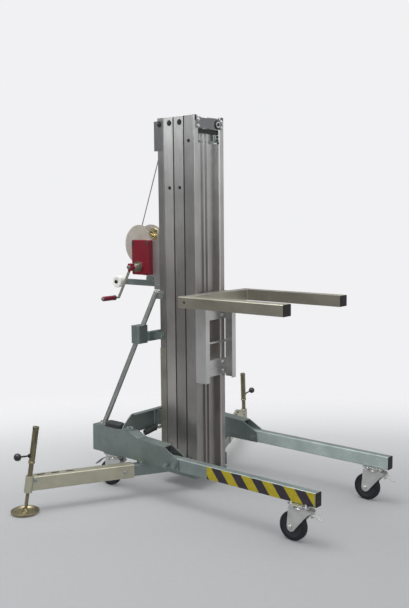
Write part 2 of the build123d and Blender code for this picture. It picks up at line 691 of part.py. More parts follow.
# a tooth of the gear points at the pinion, where the pinion has a gap
pinion_turn = to_pinion + math.pi + math.pi / PINION_TEETH
gear_points = gear_outline(GEAR_TEETH, gear_module, to_pinion)
pinion_points = gear_outline(PINION_TEETH, gear_module, pinion_turn)

# Y ranges across the winch, from its near side inwards
HOUSING_Y = (-142.0, -110.0)
NEAR_PLATE_Y = (-110.0, -106.0)
GEAR_Y = (-101.0, -94.0)
FAR_FLANGE_Y = (-11.0, -8.0)
FAR_PLATE_Y = (0.0, 4.0)
CRANK_HUB_Y = (-216.0, -192.0)
FLANGE_RADIUS = 100.0
DRUM_SHAFT_RADIUS = 10.0
SHAFT_RADIUS = 8.0

drum = gear_disc(DRUM_AXIS, gear_points, *GEAR_Y)
drum += rod_y(*DRUM_AXIS, GEAR_Y[1] - 1, FAR_FLANGE_Y[0] + 1, WINDING_RADIUS)
drum += rod_y(*DRUM_AXIS, *FAR_FLANGE_Y, FLANGE_RADIUS)
drum -= rod_y(*DRUM_AXIS, -120, 20, DRUM_SHAFT_RADIUS + RUNNING_FIT)
save("winch_drum", drum)

pinion_shaft = gear_disc(CRANK_AXIS, pinion_points, *GEAR_Y)
pinion_shaft += rod_y(*CRANK_AXIS, CRANK_HUB_Y[0], FAR_PLATE_Y[1] + 4, SHAFT_RADIUS)
# brake discs, ratchet and thrust collar, from the housing outwards
disc_y = HOUSING_Y[0] - 7
for thickness, radius in ((5, 24), (8, 20), (5, 25), (15, 15)):
    pinion_shaft += rod_y(*CRANK_AXIS, disc_y - thickness, disc_y, radius)
    disc_y -= thickness
save("pinion_shaft", pinion_shaft)

CRANK_PLANE_Y = -205.0
CRANK_END = (-433.0, 944.6)
CRANK_ARM_RADIUS = 6.5
GRIP_Y = (-314.0, -232.0)
GRIP_RADIUS = 12.0
GRIP_PIN_RADIUS = 5.0
HUB_RADIUS = 15.0
HUB_LOBES = 6
LOBE_RADIUS = 5.5
end_x, end_z = CRANK_END
crank = rod_y(*CRANK_AXIS, *CRANK_HUB_Y, HUB_RADIUS)
for i in range(HUB_LOBES):
    angle = 2 * math.pi * i / HUB_LOBES
    lobe_x, lobe_z = crank_x + HUB_RADIUS * math.cos(angle), crank_z + HUB_RADIUS * math.sin(angle)
    crank += rod_y(lobe_x, lobe_z, CRANK_HUB_Y[0] + 2, CRANK_HUB_Y[1] - 2, LOBE_RADIUS)
crank += rod((crank_x, CRANK_PLANE_Y, crank_z), (end_x, CRANK_PLANE_Y, end_z), CRANK_ARM_RADIUS)
crank += Pos(end_x, CRANK_PLANE_Y, end_z) * Sphere(CRANK_ARM_RADIUS)
crank += rod_y(*CRANK_END, GRIP_Y[0] - 4, CRANK_PLANE_Y, GRIP_PIN_RADIUS)
crank += rod_y(*CRANK_END, GRIP_Y[0] - 5, GRIP_Y[0] - 0.5, 8.0)
crank -= rod_y(*CRANK_AXIS, CRANK_HUB_Y[0] - 4, CRANK_HUB_Y[1] + 4, SHAFT_RADIUS)
save("winch_crank", crank)

grip = rod_y(*CRANK_END, *GRIP_Y, GRIP_RADIUS)
grip = fillet(grip.edges().filter_by(GeomType.CIRCLE), 4)
grip -= rod_y(*CRANK_END, GRIP_Y[0] - 2, GRIP_Y[1] + 2, GRIP_PIN_RADIUS + 0.08)
save("crank_grip", grip)

# channel on the mast's back with the two winch cheeks and the drum shaft
CHANNEL_LOW, CHANNEL_HIGH = 985.0, 1270.0
winch_cheek = [
    (mast_rear - 3, 1046), (-368, 1056), (-374, 1120), (-408, 1182), (-413, 1208), (-402, 1230),
    (mast_rear - 3, 1234),
]
WINCH_BACK_X = -275.0
WINCH_SIDE_Y = 110.0
winch_frame = block(
    mast_rear - 4, mast_rear, -WINCH_SIDE_Y, WINCH_SIDE_Y, CHANNEL_LOW, CHANNEL_HIGH
)
for side in (-1, 1):
    winch_frame += block(
        WINCH_BACK_X, mast_rear, side * (WINCH_SIDE_Y - 4), side * WINCH_SIDE_Y,
        CHANNEL_LOW, CHANNEL_HIGH,
    )
winch_frame += plate_xz(winch_cheek, *NEAR_PLATE_Y)
winch_frame += plate_xz(winch_cheek, *FAR_PLATE_Y)
winch_frame -= rod_y(*CRANK_AXIS, -120, 20, SHAFT_RADIUS + 0.06)
winch_frame += rod_y(*DRUM_AXIS, NEAR_PLATE_Y[0], FAR_PLATE_Y[1], DRUM_SHAFT_RADIUS)
PAWL_PIVOT = (-262.0, 1252.0)
PAWL_PIN_RADIUS = 5.0
winch_frame += rod_y(*PAWL_PIVOT, NEAR_PLATE_Y[0], GEAR_Y[1] + 4, PAWL_PIN_RADIUS)
save("winch_frame", winch_frame)

HOUSING_X = (-399.0, -282.0)
HOUSING_Z = (1058.0, 1233.0)
HOUSING_WALL = 4.0
PILLAR_INSET = 10.0
PILLAR_RADIUS = 7.5
SCREW_RADIUS = 4.5
housing = block(*HOUSING_X, *HOUSING_Y, *HOUSING_Z)
housing = fillet(housing.edges().filter_by(Axis.Y), 9)
housing = chamfer(housing.faces().sort_by(Axis.Y)[0].edges(), 2.5)
housing -= block(
    HOUSING_X[0] + HOUSING_WALL, HOUSING_X[1] - HOUSING_WALL,
    HOUSING_Y[0] + HOUSING_WALL, HOUSING_Y[1] + EPSILON,
    HOUSING_Z[0] + HOUSING_WALL, HOUSING_Z[1] - HOUSING_WALL,
)
housing -= rod_y(
    *CRANK_AXIS, HOUSING_Y[0] - EPSILON, HOUSING_Y[0] + HOUSING_WALL + EPSILON, SHAFT_RADIUS + 1
)
for x in (HOUSING_X[0] + PILLAR_INSET, HOUSING_X[1] - PILLAR_INSET):
    for z in (HOUSING_Z[0] + PILLAR_INSET, HOUSING_Z[1] - PILLAR_INSET):
        housing += rod_y(x, z, HOUSING_Y[0] + HOUSING_WALL - 1, HOUSING_Y[1], PILLAR_RADIUS)
        housing -= rod_y(x, z, HOUSING_Y[0] - EPSILON, HOUSING_Y[0] + 2, SCREW_RADIUS)
save("winch_gear_housing", housing)

pawl_outline = [
    (-256, 1243), (-252, 1255), (-262, 1262), (-281, 1262), (-295, 1248.5), (-284, 1250.5),
    (-270, 1243),
]
pawl = plate_xz(pawl_outline, *GEAR_Y)
pawl += rod_y(*PAWL_PIVOT, GEAR_Y[0] - 2, GEAR_Y[1] + 2, 9.0)
pawl -= rod_y(*PAWL_PIVOT, -120, -80, PAWL_PIN_RADIUS + RUNNING_FIT)
save("winch_pawl", pawl)

# cable: from the back of the winding up to the top pulley, over it and down inside the mast
drum_line = WINDING_RADIUS + CABLE_RADIUS + 0.3
pulley_line = TOP_PULLEY_RADIUS - 1.0
span = math.hypot(pulley_x - drum_x, pulley_z - drum_z)
dir_x, dir_z = (pulley_x - drum_x) / span, (pulley_z - drum_z) / span
tilt = math.asin((drum_line - pulley_line) / span)
normal_x = -dir_z * math.cos(tilt) + dir_x * math.sin(tilt)
normal_z = dir_x * math.cos(tilt) + dir_z * math.sin(tilt)
leave_drum = Vector(drum_x + drum_line * normal_x, CABLE_Y, drum_z + drum_line * normal_z)
meet_pulley = Vector(pulley_x + pulley_line * normal_x, CABLE_Y, pulley_z + pulley_line * normal_z)
leave_pulley = Vector(pulley_x + pulley_line, CABLE_Y, pulley_z)
middle_angle = math.atan2(normal_z, normal_x) / 2
over_pulley = Vector(
    pulley_x + pulley_line * math.cos(middle_angle), CABLE_Y,
    pulley_z + pulley_line * math.sin(middle_angle),
)
cable_end = Vector(leave_pulley.X, CABLE_Y, 1640)
route = Wire([
    Line(leave_drum, meet_pulley), ThreePointArc(meet_pulley, over_pulley, leave_pulley),
    Line(leave_pulley, cable_end),
])
cable_section = Plane(origin=leave_drum, z_dir=meet_pulley - leave_drum) * Circle(CABLE_RADIUS)
save("winch_cable", sweep(cable_section, path=route))


# ---------------------------------------------------------------- loading rollers
ROLLER_Y = (106.5, 140.0)
ROLLER_AXLE_RADIUS = 6.0
ARM_Y = (98.0, 104.0)
roller_x, roller_z = ROLLER_CENTRE
arm = block(roller_x + 10, mast_rear - 4, -ARM_Y[0], -ARM_Y[1], roller_z - 15, roller_z + 15)
arm += rod_y(*ROLLER_CENTRE, -ARM_Y[0], -ARM_Y[1], 18)
arm += rod_y(*ROLLER_CENTRE, -ARM_Y[0], -ROLLER_Y[1] - 2, ROLLER_AXLE_RADIUS)
arm += rod_y(*ROLLER_CENTRE, -ROLLER_Y[1] - 0.6, -ROLLER_Y[1] - 5, 10)
save("roller_arms", both_sides(arm))

roller_bore = ROLLER_AXLE_RADIUS + RUNNING_FIT
roller = tube_y(*ROLLER_CENTRE, -ROLLER_Y[0], -ROLLER_Y[1], ROLLER_RADIUS, roller_bore)
save("loading_rollers", both_sides(roller))


# ---------------------------------------------------------------- braces
BRACE_RADIUS = 12.5
BRACE_FOOT = Vector(-460, -300, BRACKET_TOP)
BRACE_HEAD = Vector(-255, -118, 975)
TAB_X = (-268.0, -205.0)
TAB_Y = (-MAST_HALF_WIDTH - 0.1, -MAST_HALF_WIDTH - 6)
TAB_Z = (940.0, 982.0)


def on_brace(z):
    """The point of the brace's centre line at one height."""
    share = (z - BRACE_FOOT.Z) / (BRACE_HEAD.Z - BRACE_FOOT.Z)
    return BRACE_FOOT + (BRACE_HEAD - BRACE_FOOT) * share


foot_x, foot_y = BRACE_FOOT.X, BRACE_FOOT.Y
brace = rod(tuple(on_brace(BRACKET_TOP - 20)), tuple(BRACE_HEAD), BRACE_RADIUS)
brace -= block(foot_x - 100, foot_x + 100, foot_y - 100, foot_y + 100, 200, BRACKET_TOP)
brace += block(
    foot_x - 30, foot_x + 30, foot_y - 26, foot_y + 14, BRACKET_TOP, BRACKET_TOP + 5
)
brace += block(*TAB_X, *TAB_Y, *TAB_Z)
save("braces", both_sides(brace))

CLAMP_LOW, CLAMP_HIGH = 718.0, 808.0
clamp_at = on_brace((CLAMP_LOW + CLAMP_HIGH) / 2)
CLAMP_HALF_X, CLAMP_HALF_Y = 27.0, 33.0
CROSS_BAR_X = (-310.0, -280.0)
CROSS_BAR_Z = (727.0, 772.0)
BAR_TAB_X = -206.0            # front end of the tabs beside the mast
BAR_TAB_Z = (736.0, 774.0)
BAR_TAB_OUTER_Y = MAST_HALF_WIDTH + 4
clamp = block(
    clamp_at.X - CLAMP_HALF_X, clamp_at.X + CLAMP_HALF_X,
    clamp_at.Y - CLAMP_HALF_Y, clamp_at.Y + CLAMP_HALF_Y, CLAMP_LOW, CLAMP_HIGH,
)
clamp = fillet(clamp.edges().filter_by(Axis.Z), 5)
clamp -= rod(tuple(on_brace(CLAMP_LOW - 18)), tuple(on_brace(CLAMP_HIGH + 22)), BRACE_RADIUS + 0.1)
cross_bar = clamp + other_side(clamp)
bar_end = -clamp_at.Y - CLAMP_HALF_Y + 3
cross_bar += block(*CROSS_BAR_X, -bar_end, bar_end, *CROSS_BAR_Z)
for side in (-1, 1):
    cross_bar += block(
        CROSS_BAR_X[0] + 10, BAR_TAB_X, side * (MAST_HALF_WIDTH + 0.1), side * BAR_TAB_OUTER_Y,
        *BAR_TAB_Z,
    )
save("brace_cross_bar", cross_bar)


# ---------------------------------------------------------------- rubber bumpers
BUMPER_X = (-430.0, -318.0)
BUMPER_Y = (-331.0, -281.0)
BUMPER_HEIGHT = 25.0
bumper = block(*BUMPER_X, *BUMPER_Y, BRACKET_TOP, BRACKET_TOP + BUMPER_HEIGHT)
bumper = fillet(bumper.edges().filter_by(Axis.Z), 22)
bumper = fillet(bumper.faces().sort_by(Axis.Z)[-1].edges(), 12)
save("bracket_bumpers", both_sides(bumper))


# ---------------------------------------------------------------- bolts of the frame
NUT_ACROSS = 24.0
fasteners = []
pivot_bolt = rod_y(*LEG_PIVOT, -BRACKET_OUTER_Y, -BRACKET_INNER_Y, PIVOT_BOLT_RADIUS)
pivot_bolt += hex_head(*LEG_PIVOT, -BRACKET_OUTER_Y, -1, NUT_ACROSS, 10)
pivot_bolt += hex_head(*LEG_PIVOT, -BRACKET_INNER_Y, 1, NUT_ACROSS, 12)
pivot_bush = tube_y(
    *LEG_PIVOT, leg_inner_y + CLEARANCE, -BRACKET_INNER_Y - BRACKET_PLATE, 14, PIVOT_BOLT_RADIUS
)
fasteners += [pivot_bolt, pivot_bush]
for z in (TAB_Z[0] + 12, TAB_Z[1] - 14):
    fasteners.append(hex_head(TAB_X[1] - 11, z, TAB_Y[1], -1))
fasteners.append(hex_head(BAR_TAB_X - 16, sum(BAR_TAB_Z) / 2, -BAR_TAB_OUTER_Y, -1))
for x in (FOOT_REAR + 30, FOOT_REAR + 65):
    fasteners.append(hex_head(x, FOOT_SIDE_TOP - 16, -foot_outer, -1))
for z in (CHANNEL_LOW + 20, CHANNEL_HIGH - 20):
    fasteners.append(hex_head((WINCH_BACK_X + mast_rear) / 2, z, -WINCH_SIDE_Y, -1))
save("frame_fasteners", group(*[both_sides(bolt) for bolt in fasteners]))
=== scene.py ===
import math
import random

import bmesh
import bpy
from mathutils import Matrix, Vector


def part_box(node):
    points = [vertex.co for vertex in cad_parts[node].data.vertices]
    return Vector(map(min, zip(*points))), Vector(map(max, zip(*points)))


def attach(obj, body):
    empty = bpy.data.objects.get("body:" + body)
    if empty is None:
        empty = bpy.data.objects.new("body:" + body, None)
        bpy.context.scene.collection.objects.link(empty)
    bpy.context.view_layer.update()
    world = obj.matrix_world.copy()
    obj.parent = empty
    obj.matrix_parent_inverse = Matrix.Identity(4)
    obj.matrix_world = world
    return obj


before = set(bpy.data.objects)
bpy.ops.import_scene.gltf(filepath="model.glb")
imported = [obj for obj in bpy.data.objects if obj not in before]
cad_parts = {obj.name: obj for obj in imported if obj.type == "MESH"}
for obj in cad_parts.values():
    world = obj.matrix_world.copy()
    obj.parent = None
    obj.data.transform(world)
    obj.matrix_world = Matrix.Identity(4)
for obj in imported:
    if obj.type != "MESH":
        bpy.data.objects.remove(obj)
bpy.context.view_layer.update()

# ------------------------------------------------------------ places
# The origin of all places below is the mast's front face, read from the frame; they are in
# millimetres unless a comment says otherwise.
MAST_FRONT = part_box("mast_stage_d")[1][0]
SIDES = (("right", -1), ("left", 1))
FRONT_AXIS = (1, 0, 0)
UP_AXIS = (0, 0, 1)
NEAR_AXIS = (0, -1, 0)
CRANK_X, CRANK_Z = -343, 1100
GRIP_X, GRIP_Z = -433, 944.6
DRUM_X, DRUM_Z = -387.0, 1208.0
ROLLER_X, ROLLER_Z = -515, 1015
AXLE_HEIGHT = 62.5


def at(x, y, z):
    """A point in metres, from millimetres ahead of the mast's front face, aside and up."""
    return Vector((MAST_FRONT + x / 1000, y / 1000, z / 1000))


# ------------------------------------------------------------ materials
def nodes_of(name):
    """A new node material with its Principled shader and tree."""
    made = bpy.data.materials.new(name)
    made.use_nodes = True
    tree = made.node_tree
    return made, tree, tree.nodes["Principled BSDF"]


def add(tree, kind, **values):
    """A node with some of its inputs or settings filled in."""
    node = tree.nodes.new(kind)
    for key, value in values.items():
        if key in node.inputs:
            node.inputs[key].default_value = value
        else:
            setattr(node, key.lower(), value)
    return node


def object_vector(tree, scale):
    """Object coordinates stretched by a scale per axis."""
    coords = tree.nodes.new("ShaderNodeTexCoord")
    mapping = tree.nodes.new("ShaderNodeMapping")
    mapping.inputs["Scale"].default_value = scale
    tree.links.new(coords.outputs["Object"], mapping.inputs["Vector"])
    return mapping.outputs["Vector"]


def noise(tree, vector, scale, detail=4.0, roughness=0.55):
    """The value of a noise texture."""
    node = add(tree, "ShaderNodeTexNoise", Scale=scale, Detail=detail, Roughness=roughness)
    tree.links.new(vector, node.inputs["Vector"])
    return node.outputs["Fac"]


def ramp(tree, value, stops):
    """A colour ramp over (position, colour) stops; a colour may be one grey level."""
    node = tree.nodes.new("ShaderNodeValToRGB")
    elements = node.color_ramp.elements
    while len(elements) < len(stops):
        elements.new(0.5)
    for element, (position, colour) in zip(elements, stops):
        element.position = position
        grey = (colour,) * 3 if isinstance(colour, float) else colour
        element.color = (*grey, 1.0)
    tree.links.new(value, node.inputs["Fac"])
    return node.outputs["Color"]


def mix(tree, factor, a, b, blend="MIX"):
    """One colour mixed into another; factor, a and b are sockets or values."""
    node = tree.nodes.new("ShaderNodeMix")
    node.data_type = "RGBA"
    node.blend_type = blend
    for key, value in ((0, factor), (6, a), (7, b)):
        if isinstance(value, bpy.types.NodeSocket):
            tree.links.new(value, node.inputs[key])
        elif key == 0:
            node.inputs[key].default_value = value
        else:
            node.inputs[key].default_value = (*value, 1.0)
    return node.outputs[2]


def shade(colour, factor):
    """A colour made lighter or darker."""
    return tuple(min(1.0, c * factor) for c in colour)


def bump(tree, shader, height, strength, distance, edge=0.0):
    """Bump from a height, over edges rounded by a small radius."""
    node = add(tree, "ShaderNodeBump", Strength=strength, Distance=distance)
    tree.links.new(height, node.inputs["Height"])
    if edge:
        rounded = add(tree, "ShaderNodeBevel", Radius=edge, samples=4)
        tree.links.new(rounded.outputs["Normal"], node.inputs["Normal"])
    tree.links.new(node.outputs["Normal"], shader.inputs["Normal"])


def maths(tree, operation, a, b=0.0):
    """A math node over sockets or numbers."""
    node = tree.nodes.new("ShaderNodeMath")
    node.operation = operation
    for key, value in ((0, a), (1, b)):
        if isinstance(value, bpy.types.NodeSocket):
            tree.links.new(value, node.inputs[key])
        else:
            node.inputs[key].default_value = value
    return node.outputs["Value"]


def split_axes(tree, output):
    """The X, Y and Z outputs that split one output of the texture coordinate node."""
    coords = tree.nodes.new("ShaderNodeTexCoord")
    split = tree.nodes.new("ShaderNodeSeparateXYZ")
    tree.links.new(coords.outputs[output], split.inputs["Vector"])
    return split.outputs


def times(tree, base, colour):
    """One colour multiplied by another."""
    return mix(tree, 1.0, base, colour, "MULTIPLY")


def map_range(tree, value, low, high):
    """A value mapped from low..high onto 0..1."""
    node = tree.nodes.new("ShaderNodeMapRange")
    node.inputs["From Min"].default_value = low
    node.inputs["From Max"].default_value = high
    tree.links.new(value, node.inputs["Value"])
    return node.outputs["Result"]


# Faces that get painted light and shade are picked by facing. A face looks inward or outward
# by the sign of its place's Y (m) times its normal's Y.
INWARD_BELOW, OUTWARD_ABOVE, SIDEWAYS_ABOVE = -0.02, 0.01, 0.7
# share of metallic taken from inward faces that get painted light
INNER_DULLING = 0.6
# height range (m) over which painted light brightens the mast towards its upper end, and the tint of
# that painted light
TOP_LIGHT_FADE = (0.95, 1.75)
TOP_LIGHT_TINT = (1.0, 1.055, 1.085)
# painted shade in the joints between the mast's profiles: half width (m), colour and X places
GROOVE_HALF_WIDTH = 0.0026
GROOVE_SHADE = (0.085, 0.078, 0.074)
MAST_GROOVES = (-67.0, -133.0)


def painted_facing_light(tree, shader, base, metallic, side_painted_light, inner_painted_light):
    """Paint light and shade: scale the colour of faces that look sideways and of those that look at
    the middle.
    """
    place, facing = split_axes(tree, "Object"), split_axes(tree, "Normal")
    outwardness = maths(tree, "MULTIPLY", place["Y"], facing["Y"])
    inward = maths(tree, "LESS_THAN", outwardness, INWARD_BELOW)
    sideways = maths(tree, "GREATER_THAN", maths(tree, "ABSOLUTE", facing["Y"]), SIDEWAYS_ABOVE)
    side_only = maths(tree, "SUBTRACT", sideways, inward)
    # painted light and shade on sideways faces, then on inward faces
    base = mix(tree, side_only, base, times(tree, base, (side_painted_light,) * 3))
    base = mix(tree, inward, base, times(tree, base, (inner_painted_light,) * 3))
    if inner_painted_light > 1.0:
        # inward faces with painted light are also made less metallic
        dulled = maths(tree, "MULTIPLY", inward, INNER_DULLING)
        tree.links.new(maths(tree, "SUBTRACT", metallic, dulled), shader.inputs["Metallic"])
    return base


def painted_top_light(tree, base, top_painted_light):
    """Paint light onto the colour towards the mast's upper end."""
    rise = map_range(tree, split_axes(tree, "Object")["Z"], *TOP_LIGHT_FADE)
    return mix(tree, rise, base, times(tree, base, tuple(top_painted_light * c for c in TOP_LIGHT_TINT)))


def groove_shade_lines(tree, base, grooves):
    """Painted shade at the joints, at X places on the faces that look outward."""
    place, facing = split_axes(tree, "Object"), split_axes(tree, "Normal")
    outwardness = maths(tree, "MULTIPLY", place["Y"], facing["Y"])
    outer = maths(tree, "GREATER_THAN", outwardness, OUTWARD_ABOVE)
    for groove in grooves:
        away = maths(tree, "ABSOLUTE", maths(tree, "SUBTRACT", place["X"], at(groove, 0, 0).x))
        near = maths(tree, "LESS_THAN", away, GROOVE_HALF_WIDTH)
        # painted shade in a band along each joint
        base = mix(tree, maths(tree, "MULTIPLY", near, outer), base, GROOVE_SHADE)
    return base


def metal(name, colour, dirt, metallic=0.8, roughness=(0.3, 0.5), grain=(30, 30, 30),
          blotch=6.0, spread=0.16, wear=0.0, edge=0.0012, depth=0.0004, side_painted_light=1.0,
          inner_painted_light=1.0, top_painted_light=1.0, grooves=(), upper=None):
    """Plated or milled metal: fine directional grain, cloudy patches, dull dirt and bright scuffs.

    The side, inner and top factors paint light and shade into the colour: they scale faces that
    look sideways, faces that look at the machine's middle and the mast's upper end. grooves are X
    places of joints along the sides that get painted shade. upper is a height in metres with the
    colour above it.
    """
    made, tree, shader = nodes_of(name)
    fine = noise(tree, object_vector(tree, grain), 8.0, 5.0, 0.6)
    cloud = noise(tree, object_vector(tree, (1, 1, 1)), blotch, 3.0)
    base = ramp(tree, fine, [(0.25, shade(colour, 1 - spread)), (0.75, shade(colour, 1 + spread))])
    patches = ramp(tree, cloud, [(0.38, 0.0), (0.72, 1.0)])
    base = mix(tree, patches, base, dirt)
    if wear:
        marks = noise(tree, object_vector(tree, (3, 3, 9)), 14.0, 8.0, 0.75)
        scuffs = ramp(tree, marks, [(0.62, 0.0), (0.68, wear)])
        base = mix(tree, scuffs, base, shade(colour, 1.7))
    shader.inputs["Metallic"].default_value = metallic
    # painted light and shade by facing and towards the mast's upper end
    if (side_painted_light, inner_painted_light) != (1.0, 1.0):
        base = painted_facing_light(tree, shader, base, metallic, side_painted_light, inner_painted_light)
    if top_painted_light != 1.0:
        base = painted_top_light(tree, base, top_painted_light)
    if upper:
        height, upper_colour = upper
        above = maths(tree, "GREATER_THAN", split_axes(tree, "Object")["Z"], height)
        base = mix(tree, above, base, upper_colour)
    # painted shade along the joints
    if grooves:
        base = groove_shade_lines(tree, base, grooves)
    tree.links.new(base, shader.inputs["Base Color"])
    rough = ramp(tree, fine, [(0.2, roughness[0]), (0.8, roughness[1])])
    tree.links.new(rough, shader.inputs["Roughness"])
    bump(tree, shader, fine, 0.25, depth, edge)
    return made


def plain(name, colour, roughness=(0.35, 0.5), coat=0.0, scale=60.0, spread=0.18, edge=0.0012,
          depth=0.0005, strength=0.3, dust=(0.3, 0.3, 0.29), dusty=0.12, gloss=0.5):
    """Plastic, rubber or enamel: fine texture, a little dust and uneven gloss."""
    made, tree, shader = nodes_of(name)
    fine = noise(tree, object_vector(tree, (1, 1, 1)), scale, 6.0, 0.6)
    cloud = noise(tree, object_vector(tree, (1, 1, 1)), 9.0, 4.0)
    base = ramp(tree, fine, [(0.3, shade(colour, 1 - spread)), (0.7, shade(colour, 1 + spread))])
    film = ramp(tree, cloud, [(0.45, 0.0), (0.8, dusty)])
    tree.links.new(mix(tree, film, base, dust), shader.inputs["Base Color"])
    rough = ramp(tree, fine, [(0.25, roughness[0]), (0.75, roughness[1])])
    tree.links.new(rough, shader.inputs["Roughness"])
    shader.inputs["Coat Weight"].default_value = coat
    shader.inputs["Specular IOR Level"].default_value = gloss
    bump(tree, shader, fine, strength, depth, edge)
    return made


def aluminium(name, tone, tint=(1.0, 0.995, 0.985), inner_painted_light=1.0, top_painted_light=1.0, grooves=()):
    """Mill-finish extrusion with grain along its length; it can carry painted light on inward faces
    and at the upper end, and painted shade at joints.
    """
    colour = tuple(0.55 * tone * c for c in tint)
    dirt = tuple(0.42 * tone * c for c in tint)
    return metal(name, colour, dirt, 0.85, (0.24, 0.42), (60, 60, 1.2), 4.0, 0.10, 0.0, 0.0008,
                 0.0002, inner_painted_light=inner_painted_light, top_painted_light=top_painted_light, grooves=grooves)


WARM = (1.0, 0.955, 0.925)
ALUMINIUM = aluminium("mill_aluminium", 1.0)
# Each stage gets painted light towards its upper end and painted shade along the joints; stage d also
# gets painted light on the faces that look at the middle.
STAGE_FINISH = {
    "a": aluminium("stage_a_aluminium", 0.58, WARM, 1.0, 1.25, MAST_GROOVES),
    "b": aluminium("stage_b_aluminium", 0.82, WARM, 1.0, 2.1, MAST_GROOVES),
    "c": aluminium("stage_c_aluminium", 0.59, WARM, 1.0, 2.4, MAST_GROOVES),
    "d": aluminium("stage_d_aluminium", 0.60, WARM, 1.8, 1.6, MAST_GROOVES),
}
ZINC = metal("zinc_plate", (0.22, 0.262, 0.255), (0.16, 0.195, 0.187), 0.7, (0.34, 0.52),
             (20, 20, 20), 9.0, 0.14, 0.35)
# painted light on the faces of the legs that look at the machine's middle
LEG_ZINC = metal("leg_zinc", (0.28, 0.33, 0.32), (0.20, 0.245, 0.235), 0.7, (0.34, 0.52),
                 (8, 20, 20), 9.0, 0.14, 0.35, inner_painted_light=1.4)
DARK_PLATE = metal("dark_plate", (0.15, 0.155, 0.16), (0.10, 0.103, 0.107), 0.6, (0.35, 0.5),
                   (30, 30, 8), 12.0, 0.14, 0.2)
OLIVE_ZINC = metal("olive_zinc", (0.46, 0.45, 0.355), (0.37, 0.36, 0.275), 0.7, (0.32, 0.5),
                   (25, 25, 25), 8.0, 0.12, 0.3, upper=(0.174, (0.19, 0.155, 0.105)))
UPRIGHT_ZINC = metal("upright_zinc", (0.30, 0.295, 0.25), (0.22, 0.215, 0.18), 0.75, (0.32, 0.5),
                     (30, 30, 4), 8.0, 0.12, 0.2)
# painted shade on the forks' sideways faces and on those that look at the middle
FORK_ZINC = metal("fork_zinc", (0.43, 0.41, 0.34), (0.34, 0.32, 0.26), 0.75, (0.3, 0.46),
                  (12, 40, 40), 7.0, 0.12, 0.3, side_painted_light=0.76, inner_painted_light=0.67)
TUBE_ZINC = metal("tube_zinc", (0.40, 0.42, 0.40), (0.30, 0.32, 0.30), 0.8, (0.26, 0.42),
                  (15, 15, 6), 9.0, 0.12, 0.25)
BRIGHT_ZINC = metal("bright_zinc", (0.62, 0.63, 0.62), (0.50, 0.50, 0.48), 0.9, (0.2, 0.36),
                    (30, 30, 30), 20.0, 0.10, 0.0, 0.0008)
DRUM_ZINC = metal("drum_zinc", (0.55, 0.51, 0.46), (0.44, 0.41, 0.34), 0.45, (0.3, 0.45),
                  (25, 25, 25), 14.0, 0.12, 0.2, 0.0006)
YELLOW_ZINC = metal("yellow_chromate", (0.34, 0.29, 0.17), (0.20, 0.19, 0.13), 0.85, (0.24, 0.4),
                    (20, 20, 12), 22.0, 0.2, 0.3, 0.001)
HEAD_ZINC = metal("head_zinc", (0.22, 0.225, 0.23), (0.16, 0.165, 0.17), 0.7, (0.3, 0.45),
                  (25, 25, 25), 20.0, 0.12, 0.2, 0.001)
CHEEK_ZINC = metal("cheek_zinc", (0.56, 0.57, 0.56), (0.44, 0.45, 0.44), 0.6, (0.32, 0.45),
                   (25, 25, 25), 20.0, 0.10, 0.2, 0.0008)
JACK_ZINC = metal("jack_chromate", (0.235, 0.205, 0.125), (0.15, 0.14, 0.10), 0.85, (0.24, 0.4),
                  (20, 20, 12), 22.0, 0.2, 0.3, 0.001)
WASHER_ZINC = metal("washer_zinc", (0.20, 0.19, 0.12), (0.13, 0.125, 0.09), 0.8, (0.3, 0.45),
                    (30, 30, 30), 18.0, 0.15, 0.2, 0.0006)
PAWL_ZINC = metal("pawl_zinc", (0.55, 0.49, 0.27), (0.42, 0.37, 0.20), 0.8, (0.25, 0.4),
                  (30, 30, 30), 18.0, 0.12, 0.2, 0.0006)
BRASS = metal("brass", (0.66, 0.50, 0.20), (0.50, 0.38, 0.18), 0.95, (0.2, 0.35),
              (30, 30, 30), 18.0, 0.12, 0.2, 0.0006)
STEEL_ROPE = metal("wire_rope", (0.42, 0.42, 0.41), (0.30, 0.30, 0.29), 0.85, (0.35, 0.5),
                   (40, 40, 40), 30.0, 0.15, 0.0, 0.0)
BOLT_DARK = metal("dark_bolt", (0.035, 0.036, 0.038), (0.02, 0.02, 0.02), 0.6, (0.3, 0.5),
                  (60, 60, 60), 40.0, 0.15, 0.3, 0.0005)
DULL_ZINC = metal("dull_zinc", (0.30, 0.34, 0.33), (0.20, 0.23, 0.22), 0.75, (0.32, 0.5),
                  (40, 40, 40), 30.0, 0.14, 0.3, 0.0006)
WELD = metal("weld_bead", (0.27, 0.30, 0.29), (0.17, 0.18, 0.17), 0.75, (0.35, 0.6),
             (90, 90, 90), 60.0, 0.2, 0.2, 0.0004)
RED_ENAMEL = plain("red_enamel", (0.155, 0.007, 0.016), (0.32, 0.45), 0.1, 90.0, 0.12, dusty=0.03,
                   gloss=0.35)
RED_PLASTIC = plain("red_plastic", (0.13, 0.007, 0.022), (0.32, 0.45), 0.1, 120.0, 0.12, dusty=0.03,
                    gloss=0.35)
TYRE = plain("tyre_rubber", (0.009, 0.013, 0.015), (0.5, 0.72), 0.0, 160.0, 0.25, dusty=0.02,
             gloss=0.3)
WHEEL_CORE = plain("wheel_core", (0.018, 0.024, 0.027), (0.4, 0.6), 0.0, 90.0, 0.2, dusty=0.03,
                   gloss=0.3)
END_CAP = plain("end_cap", (0.012, 0.010, 0.010), (0.45, 0.6), 0.0, 150.0, 0.2, dusty=0.03,
                gloss=0.25)
BLACK_PLASTIC = plain("black_plastic", (0.012, 0.012, 0.013), (0.22, 0.38), 0.1, 150.0, 0.2,
                      dusty=0.04)
BUMPER_RUBBER = plain("bumper_rubber", (0.02, 0.022, 0.022), (0.5, 0.7), 0.0, 200.0, 0.25)
NYLON = plain("white_nylon", (0.74, 0.74, 0.71), (0.35, 0.5), 0.0, 80.0, 0.05, dust=(0.4, 0.39, 0.36))
HUB_REACH = (0.026, 0.028)  # distance from the hub's middle (m) over which red gives way to zinc


